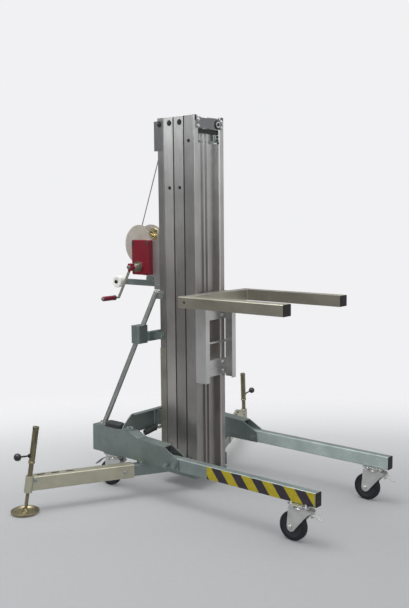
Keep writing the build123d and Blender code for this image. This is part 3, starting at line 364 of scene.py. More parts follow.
def crank_finish():
    """Red enamel on the crank's hub, zinc on its arm."""
    made, tree, shader = nodes_of("crank_finish")
    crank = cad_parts["winch_crank"]
    hub = crank.matrix_world.inverted() @ at(CRANK_X, -204, CRANK_Z)
    coords = tree.nodes.new("ShaderNodeTexCoord")
    distance = tree.nodes.new("ShaderNodeVectorMath")
    distance.operation = "DISTANCE"
    distance.inputs[1].default_value = hub
    tree.links.new(coords.outputs["Object"], distance.inputs[0])
    painted = ramp(tree, distance.outputs["Value"], [(HUB_REACH[0], 1.0), (HUB_REACH[1], 0.0)])
    fine = noise(tree, object_vector(tree, (1, 1, 1)), 120.0, 5.0)
    red = ramp(tree, fine, [(0.3, (0.15, 0.008, 0.017)), (0.7, (0.20, 0.012, 0.023))])
    zinc = ramp(tree, fine, [(0.3, (0.34, 0.34, 0.29)), (0.7, (0.44, 0.44, 0.38))])
    tree.links.new(mix(tree, painted, zinc, red), shader.inputs["Base Color"])
    bare = ramp(tree, distance.outputs["Value"], [(HUB_REACH[0], 0.0), (HUB_REACH[1], 0.8)])
    tree.links.new(bare, shader.inputs["Metallic"])
    tree.links.new(ramp(tree, fine, [(0.2, 0.3), (0.8, 0.45)]), shader.inputs["Roughness"])
    bump(tree, shader, fine, 0.25, 0.0003, 0.0008)
    return made


# hazard tape: start of the first stripe, length of a pair of stripes, and their slant
TAPE_START, TAPE_PITCH, TAPE_SHEAR = 268.0, 111.5, 0.775


def hazard_tape():
    """Slanting black and yellow stripes, scratched."""
    made, tree, shader = nodes_of("hazard_tape")
    place, origin = split_axes(tree, "Object"), at(TAPE_START, 0, 230)
    drop = maths(tree, "MULTIPLY", maths(tree, "SUBTRACT", place["Z"], origin.z), TAPE_SHEAR)
    along = maths(tree, "ADD", maths(tree, "SUBTRACT", place["X"], origin.x), drop)
    share = maths(tree, "FRACT", maths(tree, "DIVIDE", along, TAPE_PITCH / 1000))
    band = maths(tree, "GREATER_THAN", share, 0.5)
    fine = noise(tree, object_vector(tree, (1, 1, 1)), 70.0, 6.0)
    yellow = ramp(tree, fine, [(0.3, (0.33, 0.265, 0.002)), (0.75, (0.43, 0.35, 0.004))])
    black = ramp(tree, fine, [(0.3, (0.012, 0.008, 0.016)), (0.75, (0.03, 0.02, 0.035))])
    marks = noise(tree, object_vector(tree, (4, 4, 18)), 22.0, 8.0, 0.8)
    scratch = ramp(tree, marks, [(0.66, 0.0), (0.7, 0.45)])
    striped = mix(tree, scratch, mix(tree, band, black, yellow), (0.20, 0.18, 0.10))
    tree.links.new(striped, shader.inputs["Base Color"])
    shader.inputs["Roughness"].default_value = 0.38
    bump(tree, shader, fine, 0.15, 0.0002)
    return made


CRANK_FINISH = crank_finish()
HAZARD = hazard_tape()


# ------------------------------------------------------------ materials of the CAD nodes
def dress(node, made):
    """Give a CAD node its material."""
    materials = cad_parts[node].data.materials
    materials.clear()
    materials.append(made)


for stage, made in STAGE_FINISH.items():
    dress(f"mast_stage_{stage}", made)
for node, made in (
    ("carriage_frame", ALUMINIUM), ("winch_frame", ALUMINIUM), ("mast_head_bracket", HEAD_ZINC),
    ("top_pulley_block", DARK_PLATE), ("cross_member", ZINC), ("mast_foot", ZINC),
    ("brace_cross_bar", ZINC), ("roller_arms", ZINC), ("outrigger_stubs", ZINC),
    ("braces", TUBE_ZINC), ("fork_frame", FORK_ZINC), ("winch_gear_housing", RED_ENAMEL),
    ("winch_crank", CRANK_FINISH), ("crank_grip", RED_PLASTIC), ("winch_drum", DRUM_ZINC),
    ("pinion_shaft", BRIGHT_ZINC), ("winch_pawl", PAWL_ZINC), ("winch_cable", STEEL_ROPE),
    ("frame_fasteners", DULL_ZINC), ("bracket_bumpers", BUMPER_RUBBER),
    ("rear_caster_plates", BRIGHT_ZINC), ("guide_shoes_b", NYLON), ("guide_shoes_c", NYLON),
    ("guide_shoes_d", NYLON), ("guide_shoes_carriage", NYLON), ("head_pulley", NYLON),
    ("top_pulley", NYLON), ("loading_rollers", NYLON),
):
    dress(node, made)
for side, _ in SIDES:
    for end, pedal_finish in (("front", BRIGHT_ZINC), ("rear", BLACK_PLASTIC)):
        dress(f"caster_fork_{end}_{side}", BRIGHT_ZINC)
        dress(f"caster_wheel_{end}_{side}", TYRE)
        dress(f"brake_pedal_{end}_{side}", pedal_finish)
    for node, made in (
        ("side_bracket", ZINC), ("front_leg", LEG_ZINC), ("outrigger_beam", OLIVE_ZINC),
        ("front_caster_plate", BRIGHT_ZINC), ("leg_lock_pin", DULL_ZINC), ("jack_knob", BLACK_PLASTIC),
        ("jack_post", JACK_ZINC), ("jack_foot", YELLOW_ZINC),
    ):
        dress(f"{node}_{side}", made)


# ------------------------------------------------------------ mesh helpers
SHARP_ANGLE = math.radians(32)


def frame_of(axis):
    """Two directions square to an axis, and the axis itself."""
    axis = Vector(axis).normalized()
    side = axis.orthogonal().normalized()
    return side, axis.cross(side), axis


def piece(name, body, mesh_maker, material, bevel=0.0):
    """A new object from a bmesh filled in by mesh_maker, riding on a CAD body."""
    bm = bmesh.new()
    mesh_maker(bm)
    bmesh.ops.recalc_face_normals(bm, faces=bm.faces)
    mesh = bpy.data.meshes.new(name)
    bm.to_mesh(mesh)
    bm.free()
    mesh.materials.append(material)
    made = bpy.data.objects.new(name, mesh)
    bpy.context.collection.objects.link(made)
    if bevel:
        rounding = made.modifiers.new("bevel", "BEVEL")
        rounding.width = bevel
        rounding.segments = 2
        rounding.limit_method = "ANGLE"
    mesh.shade_smooth()
    mesh.set_sharp_from_angle(angle=SHARP_ANGLE)
    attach(made, body)
    return made


def ring_of(bm, centre, side, other, radius, count):
    """A closed ring of vertices."""
    turn = 2 * math.pi / count
    return [
        bm.verts.new(centre + radius * (math.cos(i * turn) * side + math.sin(i * turn) * other))
        for i in range(count)
    ]


def bridge(bm, low, high):
    """Faces between two rings with the same number of vertices."""
    count = len(low)
    for i in range(count):
        j = (i + 1) % count
        bm.faces.new((low[i], low[j], high[j], high[i]))


def lathe(bm, centre, axis, profile, count=32):
    """A turned shape from (along, radius) pairs in metres; radius 0 closes an end."""
    side, other, axis = frame_of(axis)
    before, tip = None, None
    for along, radius in profile:
        middle = Vector(centre) + axis * along
        if radius == 0:
            tip = bm.verts.new(middle)
            if before:
                for i in range(count):
                    bm.faces.new((before[i], before[(i + 1) % count], tip))
            before = None
            continue
        ring = ring_of(bm, middle, side, other, radius, count)
        if before:
            bridge(bm, before, ring)
        elif tip:
            for i in range(count):
                bm.faces.new((ring[i], ring[(i + 1) % count], tip))
            tip = None
        before = ring


def hex_bolt(bm, centre, axis, across, height, washer=0.0):
    """A chamfered hexagon head, with a washer under it when asked for."""
    side, other, axis = frame_of(axis)
    centre = Vector(centre)
    base = centre
    if washer:
        lathe(bm, centre, axis, [(0, 0), (0, washer), (0.0014, washer), (0.0018, washer * 0.96),
                                 (0.0018, 0)], 28)
        base = centre + axis * 0.0018
    radius = across / math.sqrt(3)
    low = ring_of(bm, base, side, other, radius, 6)
    shoulder = ring_of(bm, base + axis * height * 0.82, side, other, radius, 6)
    top = ring_of(bm, base + axis * height, side, other, radius * 0.86, 6)
    bm.faces.new(low)
    bridge(bm, low, shoulder)
    bridge(bm, shoulder, top)
    bm.faces.new(top)


def screw(bm, centre, axis, radius, height):
    """A round screw head with a round socket."""
    side, other, axis = frame_of(axis)
    centre = Vector(centre)
    profile = [(0, 1), (0.85, 1), (1, 0.9), (1, 0.52), (0.4, 0.48)]
    rings = [ring_of(bm, centre + axis * height * along, side, other, radius * share, 24)
             for along, share in profile]
    for low, high in zip(rings, rings[1:]):
        bridge(bm, low, high)
    bm.faces.new(rings[0])
    bm.faces.new(rings[-1])


def tube_along(bm, points, radius, count=10, closed=False):
    """A round bar along a line of points."""
    rings = []
    total = len(points)
    normal = None
    for i, point in enumerate(points):
        if closed:
            ahead_dir = (points[(i + 1) % total] - points[i - 1]).normalized()
        else:
            ahead_dir = (points[min(i + 1, total - 1)] - points[max(i - 1, 0)]).normalized()
        if normal is None:
            normal = ahead_dir.orthogonal().normalized()
        normal = (normal - ahead_dir * normal.dot(ahead_dir)).normalized()
        rings.append(ring_of(bm, point, normal, ahead_dir.cross(normal), radius, count))
    for low, high in zip(rings, rings[1:]):
        bridge(bm, low, high)
    if closed:
        bridge(bm, rings[-1], rings[0])
    else:
        bm.faces.new(rings[0])
        bm.faces.new(rings[-1])


def slab(bm, low, high):
    """A box between two corners."""
    corners = [bm.verts.new((x, y, z)) for x in (low[0], high[0]) for y in (low[1], high[1])
               for z in (low[2], high[2])]
    for face in ((0, 1, 3, 2), (4, 6, 7, 5), (0, 4, 5, 1), (2, 3, 7, 6), (0, 2, 6, 4), (1, 5, 7, 3)):
        bm.faces.new([corners[i] for i in face])


def weld(bm, start, end, radius, seed):
    """A rippled weld bead between two points."""
    start, end = Vector(start), Vector(end)
    side, other, axis = frame_of(end - start)
    length = (end - start).length
    steps = max(6, int(length / (radius * 0.55)))
    wobble = random.Random(seed)
    rings = []
    for i in range(steps + 1):
        ripple = 1 + 0.16 * math.cos(i * math.pi) + 0.1 * (wobble.random() - 0.5)
        if i in (0, steps):
            ripple = 0.45
        rings.append(ring_of(bm, start + axis * length * i / steps, side, other, radius * ripple, 8))
    for low, high in zip(rings, rings[1:]):
        bridge(bm, low, high)
    bm.faces.new(rings[0])
    bm.faces.new(rings[-1])


# ------------------------------------------------------------ added pieces
def bolts(name, body, places, material, across=0.013, height=0.006, washer=0.0095):
    """Hexagon bolts at (point, axis) places, as one piece."""
    def make(bm):
        for point, axis in places:
            hex_bolt(bm, point, axis, across, height, washer)
    return piece(name, body, make, material, bevel=0.0004)


def turned(name, body, places, profile, material, count=32):
    """The same turned shape, an (along, radius) profile in mm, at (point, axis) places."""
    def make(bm):
        for point, axis in places:
            lathe(bm, point, axis, [(a / 1000, r / 1000) for a, r in profile], count)
    return piece(name, body, make, material)


def boxes(name, body, ranges, material, bevel=0.0012):
    """Blocks given as (x0, x1, y0, y1, z0, z1) in mast millimetres, as one piece."""
    def make(bm):
        for x0, x1, y0, y1, z0, z1 in ranges:
            slab(bm, at(x0, min(y0, y1), z0), at(x1, max(y0, y1), z1))
    return piece(name, body, make, material, bevel=bevel)


# cable wound on the drum: radius and pitch of its middle line, where it starts and ends in Y, and
# its own radius (m)
WIND_RADIUS, WIND_PITCH, WIND_START, WIND_END = 56.6, 5.2, -91.0, -13.5
WIND_STEPS, CABLE_RADIUS = 40, 0.0025


def winding(bm):
    """The turns of cable side by side on the drum."""
    turns = (WIND_END - WIND_START) / WIND_PITCH
    steps = int(turns * WIND_STEPS)
    line = []
    for i in range(steps + 1):
        angle = 2 * math.pi * turns * i / steps
        line.append(at(DRUM_X + WIND_RADIUS * math.cos(angle),
                       WIND_START + (WIND_END - WIND_START) * i / steps,
                       DRUM_Z + WIND_RADIUS * math.sin(angle)))
    tube_along(bm, line, CABLE_RADIUS, 8)


piece("cable_winding", "drum", winding, STEEL_ROPE)

# hazard tape on the legs' outer sides, black end caps, a rubber stop in each bracket's open front,
# and a dark sheet painted as the shade inside it
SHADE_SHEET_OUTLINE = [(-14, 266), (54, 232), (54, 224), (-14, 224)]


def prism(bm, outline, y0, y1):
    """A plate with an outline of (x, z) places between two places in Y."""
    near = [bm.verts.new(at(x, y0, z)) for x, z in outline]
    far = [bm.verts.new(at(x, y1, z)) for x, z in outline]
    bm.faces.new(near)
    bm.faces.new(far)
    bridge(bm, near, far)


def add_leg_details(side, s):
    """Hazard tape, end caps, rubber stop and a dark sheet of painted shade in the bracket, of one
    side.
    """
    leg = f"front_leg_{side}"
    boxes(f"hazard_tape_{side}", leg, [(244, 816, s * 331.05, s * 331.6, 170.5, 227.5)],
          HAZARD, 0.0002)
    boxes(f"leg_cap_{side}", leg, [(820.2, 824, s * 292, s * 330, 169, 229)],
          END_CAP)
    boxes(f"fork_cap_{side}", "carriage", [(609.2, 613, s * 204, s * 258, 927, 978)],
          END_CAP)
    boxes(f"leg_stop_{side}", "base", [(-44, -22, s * 280.5, s * 331.5, 236, 267)],
          BUMPER_RUBBER, 0.002)
    # dark sheet painted as the shade on the inside of the bracket's inner plate
    piece(f"bracket_shade_sheet_{side}", "base",
          lambda bm: prism(bm, SHADE_SHEET_OUTLINE, s * 280.4, s * 283),
          BUMPER_RUBBER, 0.0005)


for side, s in SIDES:
    add_leg_details(side, s)

# bolts along the mast's sides as (x, z) for each body, with dark washers under the top ones
MAST_SIDE = 111.7
TOP_BOLTS = {"base": (-219, 1794), "stage_b": (-157, 1796), "stage_c": (-91, 1796)}
LOWER_BOLTS = {"stage_b": (-159, 1487), "stage_c": (-93, 1487), "stage_d": (-34, 1706)}
TOP_PLATE = 1.7


def add_mast_side(side, s):
    """Bolts of every profile, and the upright and top plate beside the rear one."""
    outward = (0, s, 0)
    for body, (x, z) in TOP_BOLTS.items():
        seat = s * (MAST_SIDE + TOP_PLATE) if body == "base" else s * MAST_SIDE
        turned(f"top_washer_{body}_{side}", body, [(at(x, seat, z), outward)],
               [(0, 0), (0, 14), (1.2, 14), (1.6, 13.4), (1.6, 0)], BOLT_DARK)
        bolts(f"top_bolt_{body}_{side}", body, [(at(x + 1, seat + s * 1.4, z - 1), outward)],
              BOLT_DARK, 0.013, 0.005, 0)
    for body, (x, z) in LOWER_BOLTS.items():
        bolts(f"side_bolt_{body}_{side}", body, [(at(x, s * MAST_SIDE, z), outward)],
              BOLT_DARK, 0.011, 0.004, 0.0085)
    boxes(f"rear_upright_{side}", "base",
          [(-236.8, -197, s * 111.65, s * 114, 142.2, 694)], UPRIGHT_ZINC, 0.0008)
    boxes(f"top_side_plate_{side}", "base",
          [(-236.6, -200.4, s * MAST_SIDE, s * 113.4, 1668, 1812)], DARK_PLATE, 0.0005)


for side, s in SIDES:
    add_mast_side(side, s)

# head of the front profile: face bolts, cable clamp, the far pulley cover and a dark strip of painted
# shade under the head plate
bolts("head_bolts", "stage_d", [(at(4, y, z), FRONT_AXIS) for y in (-86, 86) for z in (1774, 1804)],
      BRIGHT_ZINC, 0.012, 0.006, 0.009)
turned("head_cover", "stage_d", [(at(4, 58, 1788), FRONT_AXIS)],
       [(0, 0), (0, 22), (3, 22), (5, 20), (5, 9), (9, 8), (9, 0)], BOLT_DARK)
turned("head_cover_ring", "stage_d", [(at(9.1, 58, 1788), FRONT_AXIS)],
       [(0, 9.2), (0, 15), (1.5, 15), (1.5, 9.2)], BRIGHT_ZINC)
boxes("cable_clamp", "stage_d", [(-22.6, -14, 54, 84, 1703, 1743), (-14, -8, 60, 78, 1707, 1739)],
      DULL_ZINC, 0.002)
bolts("cable_clamp_bolts", "stage_d", [(at(-8, 69, z), FRONT_AXIS) for z in (1715, 1731)],
      BOLT_DARK, 0.011, 0.006, 0)
# a dark strip painted as the shade under the head plate
boxes("head_shade_strip", "stage_d", [(-22.6, -15, -92, 88, 1744, 1764.6)], BOLT_DARK)
boxes("head_stop", "stage_d", [(-22.6, -15, -88, -56, 1714, 1743.6)], DULL_ZINC, 0.002)
boxes("head_corner_blocks", "stage_d",
      [(-18, 1, -106, -92, 1800, 1826), (-18, 1, 92, 106, 1800, 1826)],
      BLACK_PLASTIC, 0.002)

# carriage: plate bolts, fork pin bolts and the forks' welds
bolts("carriage_bolts", "carriage",
      [(at(9, y, z), FRONT_AXIS) for y in (-80, 80) for z in (576, 622, 858, 902)],
      BRIGHT_ZINC, 0.017, 0.008, 0.012)
bolts("fork_pin_bolts", "carriage", [(at(55, s * 249.2, 953), (0, s, 0)) for _, s in SIDES],
      BOLT_DARK, 0.009, 0.004, 0.0055)


def fork_welds(bm, s):
    """Weld beads where one fork meets its cross tube and the carriage's plate."""
    weld(bm, at(75.5, s * 202.5, 930), at(75.5, s * 202.5, 975), 0.003, 11 + s)
    weld(bm, at(79, s * 202.8, 979.2), at(75.3, s * 112, 979.2), 0.0016, 15 + s)
    weld(bm, at(19, s * 112, 925.6), at(64, s * 114, 925.6), 0.0026, 21 + s)


for side, s in SIDES:
    piece(f"fork_welds_{side}", "carriage", lambda bm, s=s: fork_welds(bm, s), WELD)

# cross member, braces and clamp boxes
BRACE_FOOT = (-460, 300, 310.5)
FOOT_BEAD_STEPS = 16
CLAMP_FACE_X = -307


def base_welds(bm, s):
    """The bead round one brace's foot, and two along the cross member."""
    x, y, z = BRACE_FOOT
    turn = 2 * math.pi / FOOT_BEAD_STEPS
    foot = [at(x + 15.5 * math.cos(i * turn), s * (y + 14 * math.sin(i * turn)), z)
            for i in range(FOOT_BEAD_STEPS)]
    for i, point in enumerate(foot):
        weld(bm, point, foot[(i + 1) % FOOT_BEAD_STEPS], 0.0026, 40 + i)
    weld(bm, at(-298, s * 270, 309.5), at(-298, s * 318, 309.5), 0.003, 61)
    weld(bm, at(-297, s * 99.5, 290), at(-297, s * 99.5, 366), 0.003, 62)


for side, s in SIDES:
    bolts(f"saddle_bolts_{side}", "base",
          [(at(x, s * y, 309), UP_AXIS) for x, y in ((-285, 305), (-268, 293))],
          DULL_ZINC, 0.016, 0.008, 0.012)
    bolts(f"brace_foot_bolts_{side}", "base",
          [(at(x, s * 294, 310), UP_AXIS) for x in (-482, -438)],
          DULL_ZINC, 0.013, 0.006, 0.0095)
    bolts(f"clamp_bolts_{side}", "base",
          [(at(CLAMP_FACE_X, s * 188, z), FRONT_AXIS) for z in (738, 788)],
          DULL_ZINC, 0.015, 0.007, 0.011)
    piece(f"base_welds_{side}", "base", lambda bm, s=s: base_welds(bm, s), WELD)

# cable guide bar under the cross member and its bright hardware
GUIDE_BAR = [(-284, -186, 264), (-282, -168, 267), (-280, -140, 273), (-277, -116, 277)]
GUIDE_RADIUS = 0.015


def guide_bar(bm):
    """The dark bar, along its given middle line."""
    tube_along(bm, [at(*point) for point in GUIDE_BAR], GUIDE_RADIUS, 16)


piece("guide_bar", "base", guide_bar, BUMPER_RUBBER)
bolts("guide_bar_bolts", "base", [(at(-262, -y, 283), (0.2, -1, 0)) for y in (99.3, 106)],
      BRIGHT_ZINC, 0.017, 0.009, 0.012)
# foot: dark edge guard on the far side
boxes("foot_guard", "base", [(-34, -4, 118.3, 124, 78, 142)], BLACK_PLASTIC, 0.0015)

# winch: housing screws, hub nut, pawl plate with its spring
HOUSING_FACE = -142.0
PAWL_PLATE = [(-243, 1232), (-243, 1284), (-262, 1294), (-290, 1290), (-306, 1270), (-300, 1248),
              (-276, 1236)]
SPRING_X, SPRING_Y, SPRING_Z = -262, -115, 1252
SPRING_RADIUS, SPRING_PITCH, SPRING_TURNS, STEPS_PER_TURN = 8.5, 1.5, 6, 20


def housing_screws(bm):
    """Screws in the corners of the red housing."""
    for x in (-389, -292):
        for z in (1068, 1223):
            screw(bm, at(x, HOUSING_FACE + 1.8, z), NEAR_AXIS, 0.0042, 0.0035)


def pawl_spring(bm):
    """A coil with a straight end towards the pawl."""
    line = []
    for i in range(SPRING_TURNS * STEPS_PER_TURN + 1):
        angle = 2 * math.pi * i / STEPS_PER_TURN
        line.append(at(SPRING_X + SPRING_RADIUS * math.cos(angle),
                       SPRING_Y - i * SPRING_PITCH / STEPS_PER_TURN,
                       SPRING_Z + SPRING_RADIUS * math.sin(angle)))
    line.append(at(-284, -124, 1268))
    tube_along(bm, line, 0.0011, 8)


piece("housing_screws", "base", housing_screws, BOLT_DARK)
# dark plates painted as the shade in the housing's corner recesses
boxes("housing_recess_shades", "base",
      [(-396, -383, -144, -142.2, 1206, 1228), (-298, -285, -144, -142.2, 1210, 1228)],
      BUMPER_RUBBER, 0.0008)
turned("housing_boss", "base", [(at(CRANK_X, HOUSING_FACE, CRANK_Z), NEAR_AXIS)],
       [(0, 10), (0, 27), (2.5, 26), (4.5, 19), (4.5, 10)], RED_ENAMEL, 48)
turned("grip_collar", "grip", [(at(GRIP_X, -231.6, GRIP_Z), NEAR_AXIS)],
       [(0, 7), (0, 13), (7, 13), (8, 12)], BLACK_PLASTIC)
bolts("hub_nut", "crank", [(at(CRANK_X, -216, CRANK_Z), NEAR_AXIS)],
      DULL_ZINC, 0.017, 0.007, 0.010)
turned("thrust_washers", "crank", [(at(CRANK_X, y, CRANK_Z), NEAR_AXIS) for y in (-154.2, -166.8)],
       [(0, 8.2), (0, 26.5), (0.8, 26.5), (0.8, 8.2)], WASHER_ZINC, 48)
piece("pawl_plate", "base", lambda bm: prism(bm, PAWL_PLATE, -113.5, -110.3),
      PAWL_ZINC, 0.002)
piece("pawl_spring", "base", pawl_spring, BRASS)
bolts("pawl_plate_bolts", "base",
      [(at(x, -113.5, z), NEAR_AXIS) for x, z in ((-262, 1252), (-286, 1272), (-254, 1280))],
      YELLOW_ZINC, 0.011, 0.006, 0.008)

# loading rollers: rims on both ends, and caps on the ends of their axle
turned("roller_caps", "base", [(at(ROLLER_X, s * 144.6, ROLLER_Z), (0, s, 0)) for _, s in SIDES],
       [(0, 0), (0, 9.5), (2.5, 9), (3.5, 5.5), (3.5, 0)], BOLT_DARK)
turned("roller_rims", "loading_rollers",
       [(at(ROLLER_X, s * 140.05, ROLLER_Z), (0, s, 0)) for _, s in SIDES],
       [(0, 12.2), (0, 27), (1.2, 26), (1.2, 19), (0.3, 17), (0.3, 12.2)], NYLON, 48)

# outriggers: painted shade of the adjustment slots, end bolt, spring collar, jack cap and weld seams
OUTRIGGER_ROOT_X, OUTRIGGER_ROOT_Y = -140, 250
SWING = math.radians(28.5)
LEAN = math.radians(8.9)
JACK_ALONG, JACK_ACROSS = 649, 24
SLOT_CENTRES, SLOT_ACROSS, SLOT_HALF_STRAIGHT, SLOT_RADIUS = (432, 500, 568), -4, 13, 7
BEAM_END, BEAM_TOP = 619.5, 165.5


def outrigger(s, along_beam, across, height):
    """A point in the outrigger's own frame: along it, across it and above the floor."""
    return at(OUTRIGGER_ROOT_X - math.sin(SWING) * along_beam + math.cos(SWING) * across,
              s * (OUTRIGGER_ROOT_Y + math.cos(SWING) * along_beam + math.sin(SWING) * across), height)


def jack(s, out, lift):
    """A point beside the jack's leaning axis."""
    along_beam = JACK_ALONG + math.cos(LEAN) * out - math.sin(LEAN) * lift
    return outrigger(s, along_beam, JACK_ACROSS, math.sin(LEAN) * out + math.cos(LEAN) * lift)


def beam_slot_shades(bm, s):
    """Painted shade of the rounded slots in the beam's top: thin dark plates laid on it."""
    for middle in SLOT_CENTRES:
        rim = []
        for i in range(24):
            angle = 2 * math.pi * i / 24
            shift = SLOT_HALF_STRAIGHT if math.cos(angle) > 0 else -SLOT_HALF_STRAIGHT
            rim.append((middle + shift + SLOT_RADIUS * math.cos(angle),
                        SLOT_ACROSS + SLOT_RADIUS * math.sin(angle)))
        low = [bm.verts.new(outrigger(s, a, c, BEAM_TOP - 0.7)) for a, c in rim]
        high = [bm.verts.new(outrigger(s, a, c, BEAM_TOP)) for a, c in rim]
        bm.faces.new(low)
        bm.faces.new(high)
        bridge(bm, low, high)


def beam_seams(bm, s):
    """Weld beads round the plate at the beam's end."""
    for across in (-26, 26):
        low, high = outrigger(s, BEAM_END, across, 102), outrigger(s, BEAM_END, across, 163)
        weld(bm, low, high, 0.003, 70 + across)
    weld(bm, outrigger(s, BEAM_END, -26, BEAM_TOP), outrigger(s, BEAM_END, 4, BEAM_TOP), 0.003, 73)


def packer_seams(bm, s):
    """Weld beads beside the stub's packer under the bracket."""
    for height, seed in ((161, 81), (171, 82)):
        weld(bm, outrigger(s, 36, 22.5, height), outrigger(s, 96, 22.5, height), 0.0028, seed)


def add_outrigger(side, s):
    """Everything that Blender adds to one outrigger and its jack."""
    beam, post, foot = f"outrigger_{side}", f"jack_{side}", f"pad_{side}"
    near_axis = outrigger(s, 0, 1000, 0) - outrigger(s, 0, 0, 0)
    up_axis = jack(s, 0, 1000) - jack(s, 0, 0)
    out_of_jack = (jack(s, 1000, 0) - jack(s, 0, 0)).normalized()
    knob_axis = out_of_jack * math.cos(SWING) + near_axis.normalized() * math.sin(SWING)
    # thin dark plates painted as the shade inside the slots
    piece(f"beam_slot_shades_{side}", beam, lambda bm: beam_slot_shades(bm, s), BOLT_DARK)
    bolts(f"beam_bolts_{side}", beam,
          [(outrigger(s, 598, 28, 150), near_axis), (outrigger(s, 170, 28, 132), near_axis)],
          DULL_ZINC, 0.013, 0.006, 0.0095)
    piece(f"beam_seams_{side}", beam, lambda bm: beam_seams(bm, s), WELD)
    piece(f"packer_seams_{side}", "base", lambda bm: packer_seams(bm, s), WELD)
    turned(f"jack_cap_{side}", post, [(jack(s, 0, 392), up_axis)],
           [(0, 14.1), (0, 14.8), (12, 14.8), (13.6, 13.5), (13.6, 0)], JACK_ZINC)
    turned(f"sleeve_collar_{side}", post, [(jack(s, 0, 235), up_axis)],
           [(0, 11.6), (0, 16), (7, 16), (8.5, 14.2)], YELLOW_ZINC)
    turned(f"knob_collar_{side}", post, [(jack(s, 0, 270) + knob_axis * 0.0165, knob_axis)],
           [(0, 9), (3, 9), (3, 7.6), (5.5, 7.6), (5.5, 4.2)], BOLT_DARK)
    turned(f"guide_collar_{side}", beam, [(jack(s, 0, 172), up_axis)],
           [(0, 11.1), (0, 15.5), (4, 15.5), (6, 11.1)], OLIVE_ZINC)
    turned(f"pad_ring_{side}", foot, [(outrigger(s, JACK_ALONG, JACK_ACROSS, 13.05), UP_AXIS)],
           [(0, 58.5), (0, 64.5), (0.9, 63.5), (0.9, 59.5)], YELLOW_ZINC, 64)
    turned(f"pad_neck_{side}", foot, [(outrigger(s, JACK_ALONG, JACK_ACROSS, 21.0), UP_AXIS)],
           [(0, 9.2), (0, 13), (2.2, 12.4), (2.2, 9.2)], YELLOW_ZINC, 48)


for side, s in SIDES:
    add_outrigger(side, s)

# casters: hubs, axle nuts, swivel race, cheeks and plate bolts, round each swivel's X and Y
CASTER_PLACES = (("front", 742.6, 314.0), ("rear", -373.0, 306.0))
CASTER_TRAIL = 40
TREAD_RADIUS = 62.3
CHEEK_FACE, CHEEK_THICKNESS = 22.05, 1.4
CHEEK_OUTLINE = [(-52, 151), (40, 151), (54, 144), (54, 137), (40, 127), (-14, 62), (-26, 47),
                 (-40, 41), (-54, 47), (-60, 62)]
BLADE_LINE = [(46, 134.6), (58, 135.5), (74, 130.5), (92, 119.5), (101, 116)]
BLADE_HALF_WIDTH, BLADE_TIP_HALF_WIDTH, BLADE_THICKNESS = 16.0, 13.0, 2.6


def fork_cheeks(bm, x, y):
    """Thin cheek plates on both sides of a caster's fork."""
    outline = [(x + dx, z) for dx, z in CHEEK_OUTLINE]
    for f in (-1, 1):
        prism(bm, outline, y + f * CHEEK_FACE, y + f * (CHEEK_FACE + CHEEK_THICKNESS))


def tread_lines(bm, x, y):
    """Three fine ridges round a tyre."""
    for offset in (-7, 0, 7):
        ring = []
        for i in range(72):
            angle = 2 * math.pi * i / 72
            ring.append(at(x - CASTER_TRAIL + TREAD_RADIUS * math.cos(angle), y + offset,
                           AXLE_HEIGHT + 0.2 + TREAD_RADIUS * math.sin(angle)))
        tube_along(bm, ring, 0.0006, 6, True)


def pedal_blade(bm, x, y):
    """The bent blade over a front brake pedal, narrower at its tip."""
    rows = []
    for dx, z in BLADE_LINE:
        half = BLADE_TIP_HALF_WIDTH if (dx, z) == BLADE_LINE[-1] else BLADE_HALF_WIDTH
        rows.append([bm.verts.new(at(x + dx, y + dy, z + dz)) for dy, dz in
                     ((-half, 0), (half, 0), (half, -BLADE_THICKNESS), (-half, -BLADE_THICKNESS))])
    for low, high in zip(rows, rows[1:]):
        bridge(bm, low, high)
    bm.faces.new(rows[0])
    bm.faces.new(rows[-1])


def add_caster(place, x, y, side, s):
    """Everything that Blender adds to one caster, whose swivel is at x and y."""
    key = f"{place}_{side}"
    wheel, fork = f"wheel_{key}", f"caster_{key}"
    axle_x = x - CASTER_TRAIL
    hub_places = [(at(axle_x, y + f * 10, AXLE_HEIGHT), (0, f, 0)) for f in (-1, 1)]
    turned(f"hub_{key}", wheel, hub_places,
           [(0, 17.2), (3, 17.2), (5.4, 15.5), (6.2, 12), (6.2, 6.2)], BRIGHT_ZINC, 40)
    turned(f"rim_{key}", wheel, hub_places,
           [(0.4, 17.4), (1.5, 22), (1.5, 38), (4.5, 43), (5.4, 45.8)], WHEEL_CORE, 56)
    piece(f"fork_cheeks_{key}", fork, lambda bm: fork_cheeks(bm, x, y),
          CHEEK_ZINC, 0.0006)
    piece(f"tread_{key}", wheel, lambda bm: tread_lines(bm, x, y), TYRE)
    bolts(f"axle_nut_{key}", fork,
          [(at(axle_x, y + f * 27, AXLE_HEIGHT), (0, f, 0)) for f in (-1, 1)],
          BRIGHT_ZINC, 0.015, 0.006, 0)
    turned(f"race_{key}", fork, [(at(x, y, 148), UP_AXIS)],
           [(-1, 25), (-1, 35), (1.5, 36.5), (4.5, 36.5), (6.8, 34), (7, 30)],
           BRIGHT_ZINC, 56)
    carrier = f"front_leg_{side}" if place == "front" else "base"
    bolts(f"plate_bolts_{key}", carrier,
          [(at(x + dx, y + s * dy, 163.4), (0, 0, -1)) for dx in (-37, 37) for dy in (-26, 26)],
          BRIGHT_ZINC, 0.012, 0.006, 0.0085)
    if place == "front":
        piece(f"pedal_blade_{key}", f"pedal_{key}", lambda bm: pedal_blade(bm, x, y),
              BRIGHT_ZINC, 0.0006)
        bolts(f"plate_nuts_{key}", carrier,
              [(at(x + dx, y + s * 25.5, 168.1), UP_AXIS) for dx in (-37, 37)],
              BRIGHT_ZINC, 0.010, 0.006, 0.006)


for place, x, y in CASTER_PLACES:
    for side, s in SIDES:
        add_caster(place, x, s * y, side, s)


# ------------------------------------------------------------ camera
AZIMUTH, PITCH, ROLL = (math.radians(a) for a in (40.1868, 6.4175, -0.5443))
CAMERA_PLACE = (2531.9, -3043.9, 1364.9)
SENSOR_HEIGHT, FOCAL_LENGTH = 36.0, 47.98


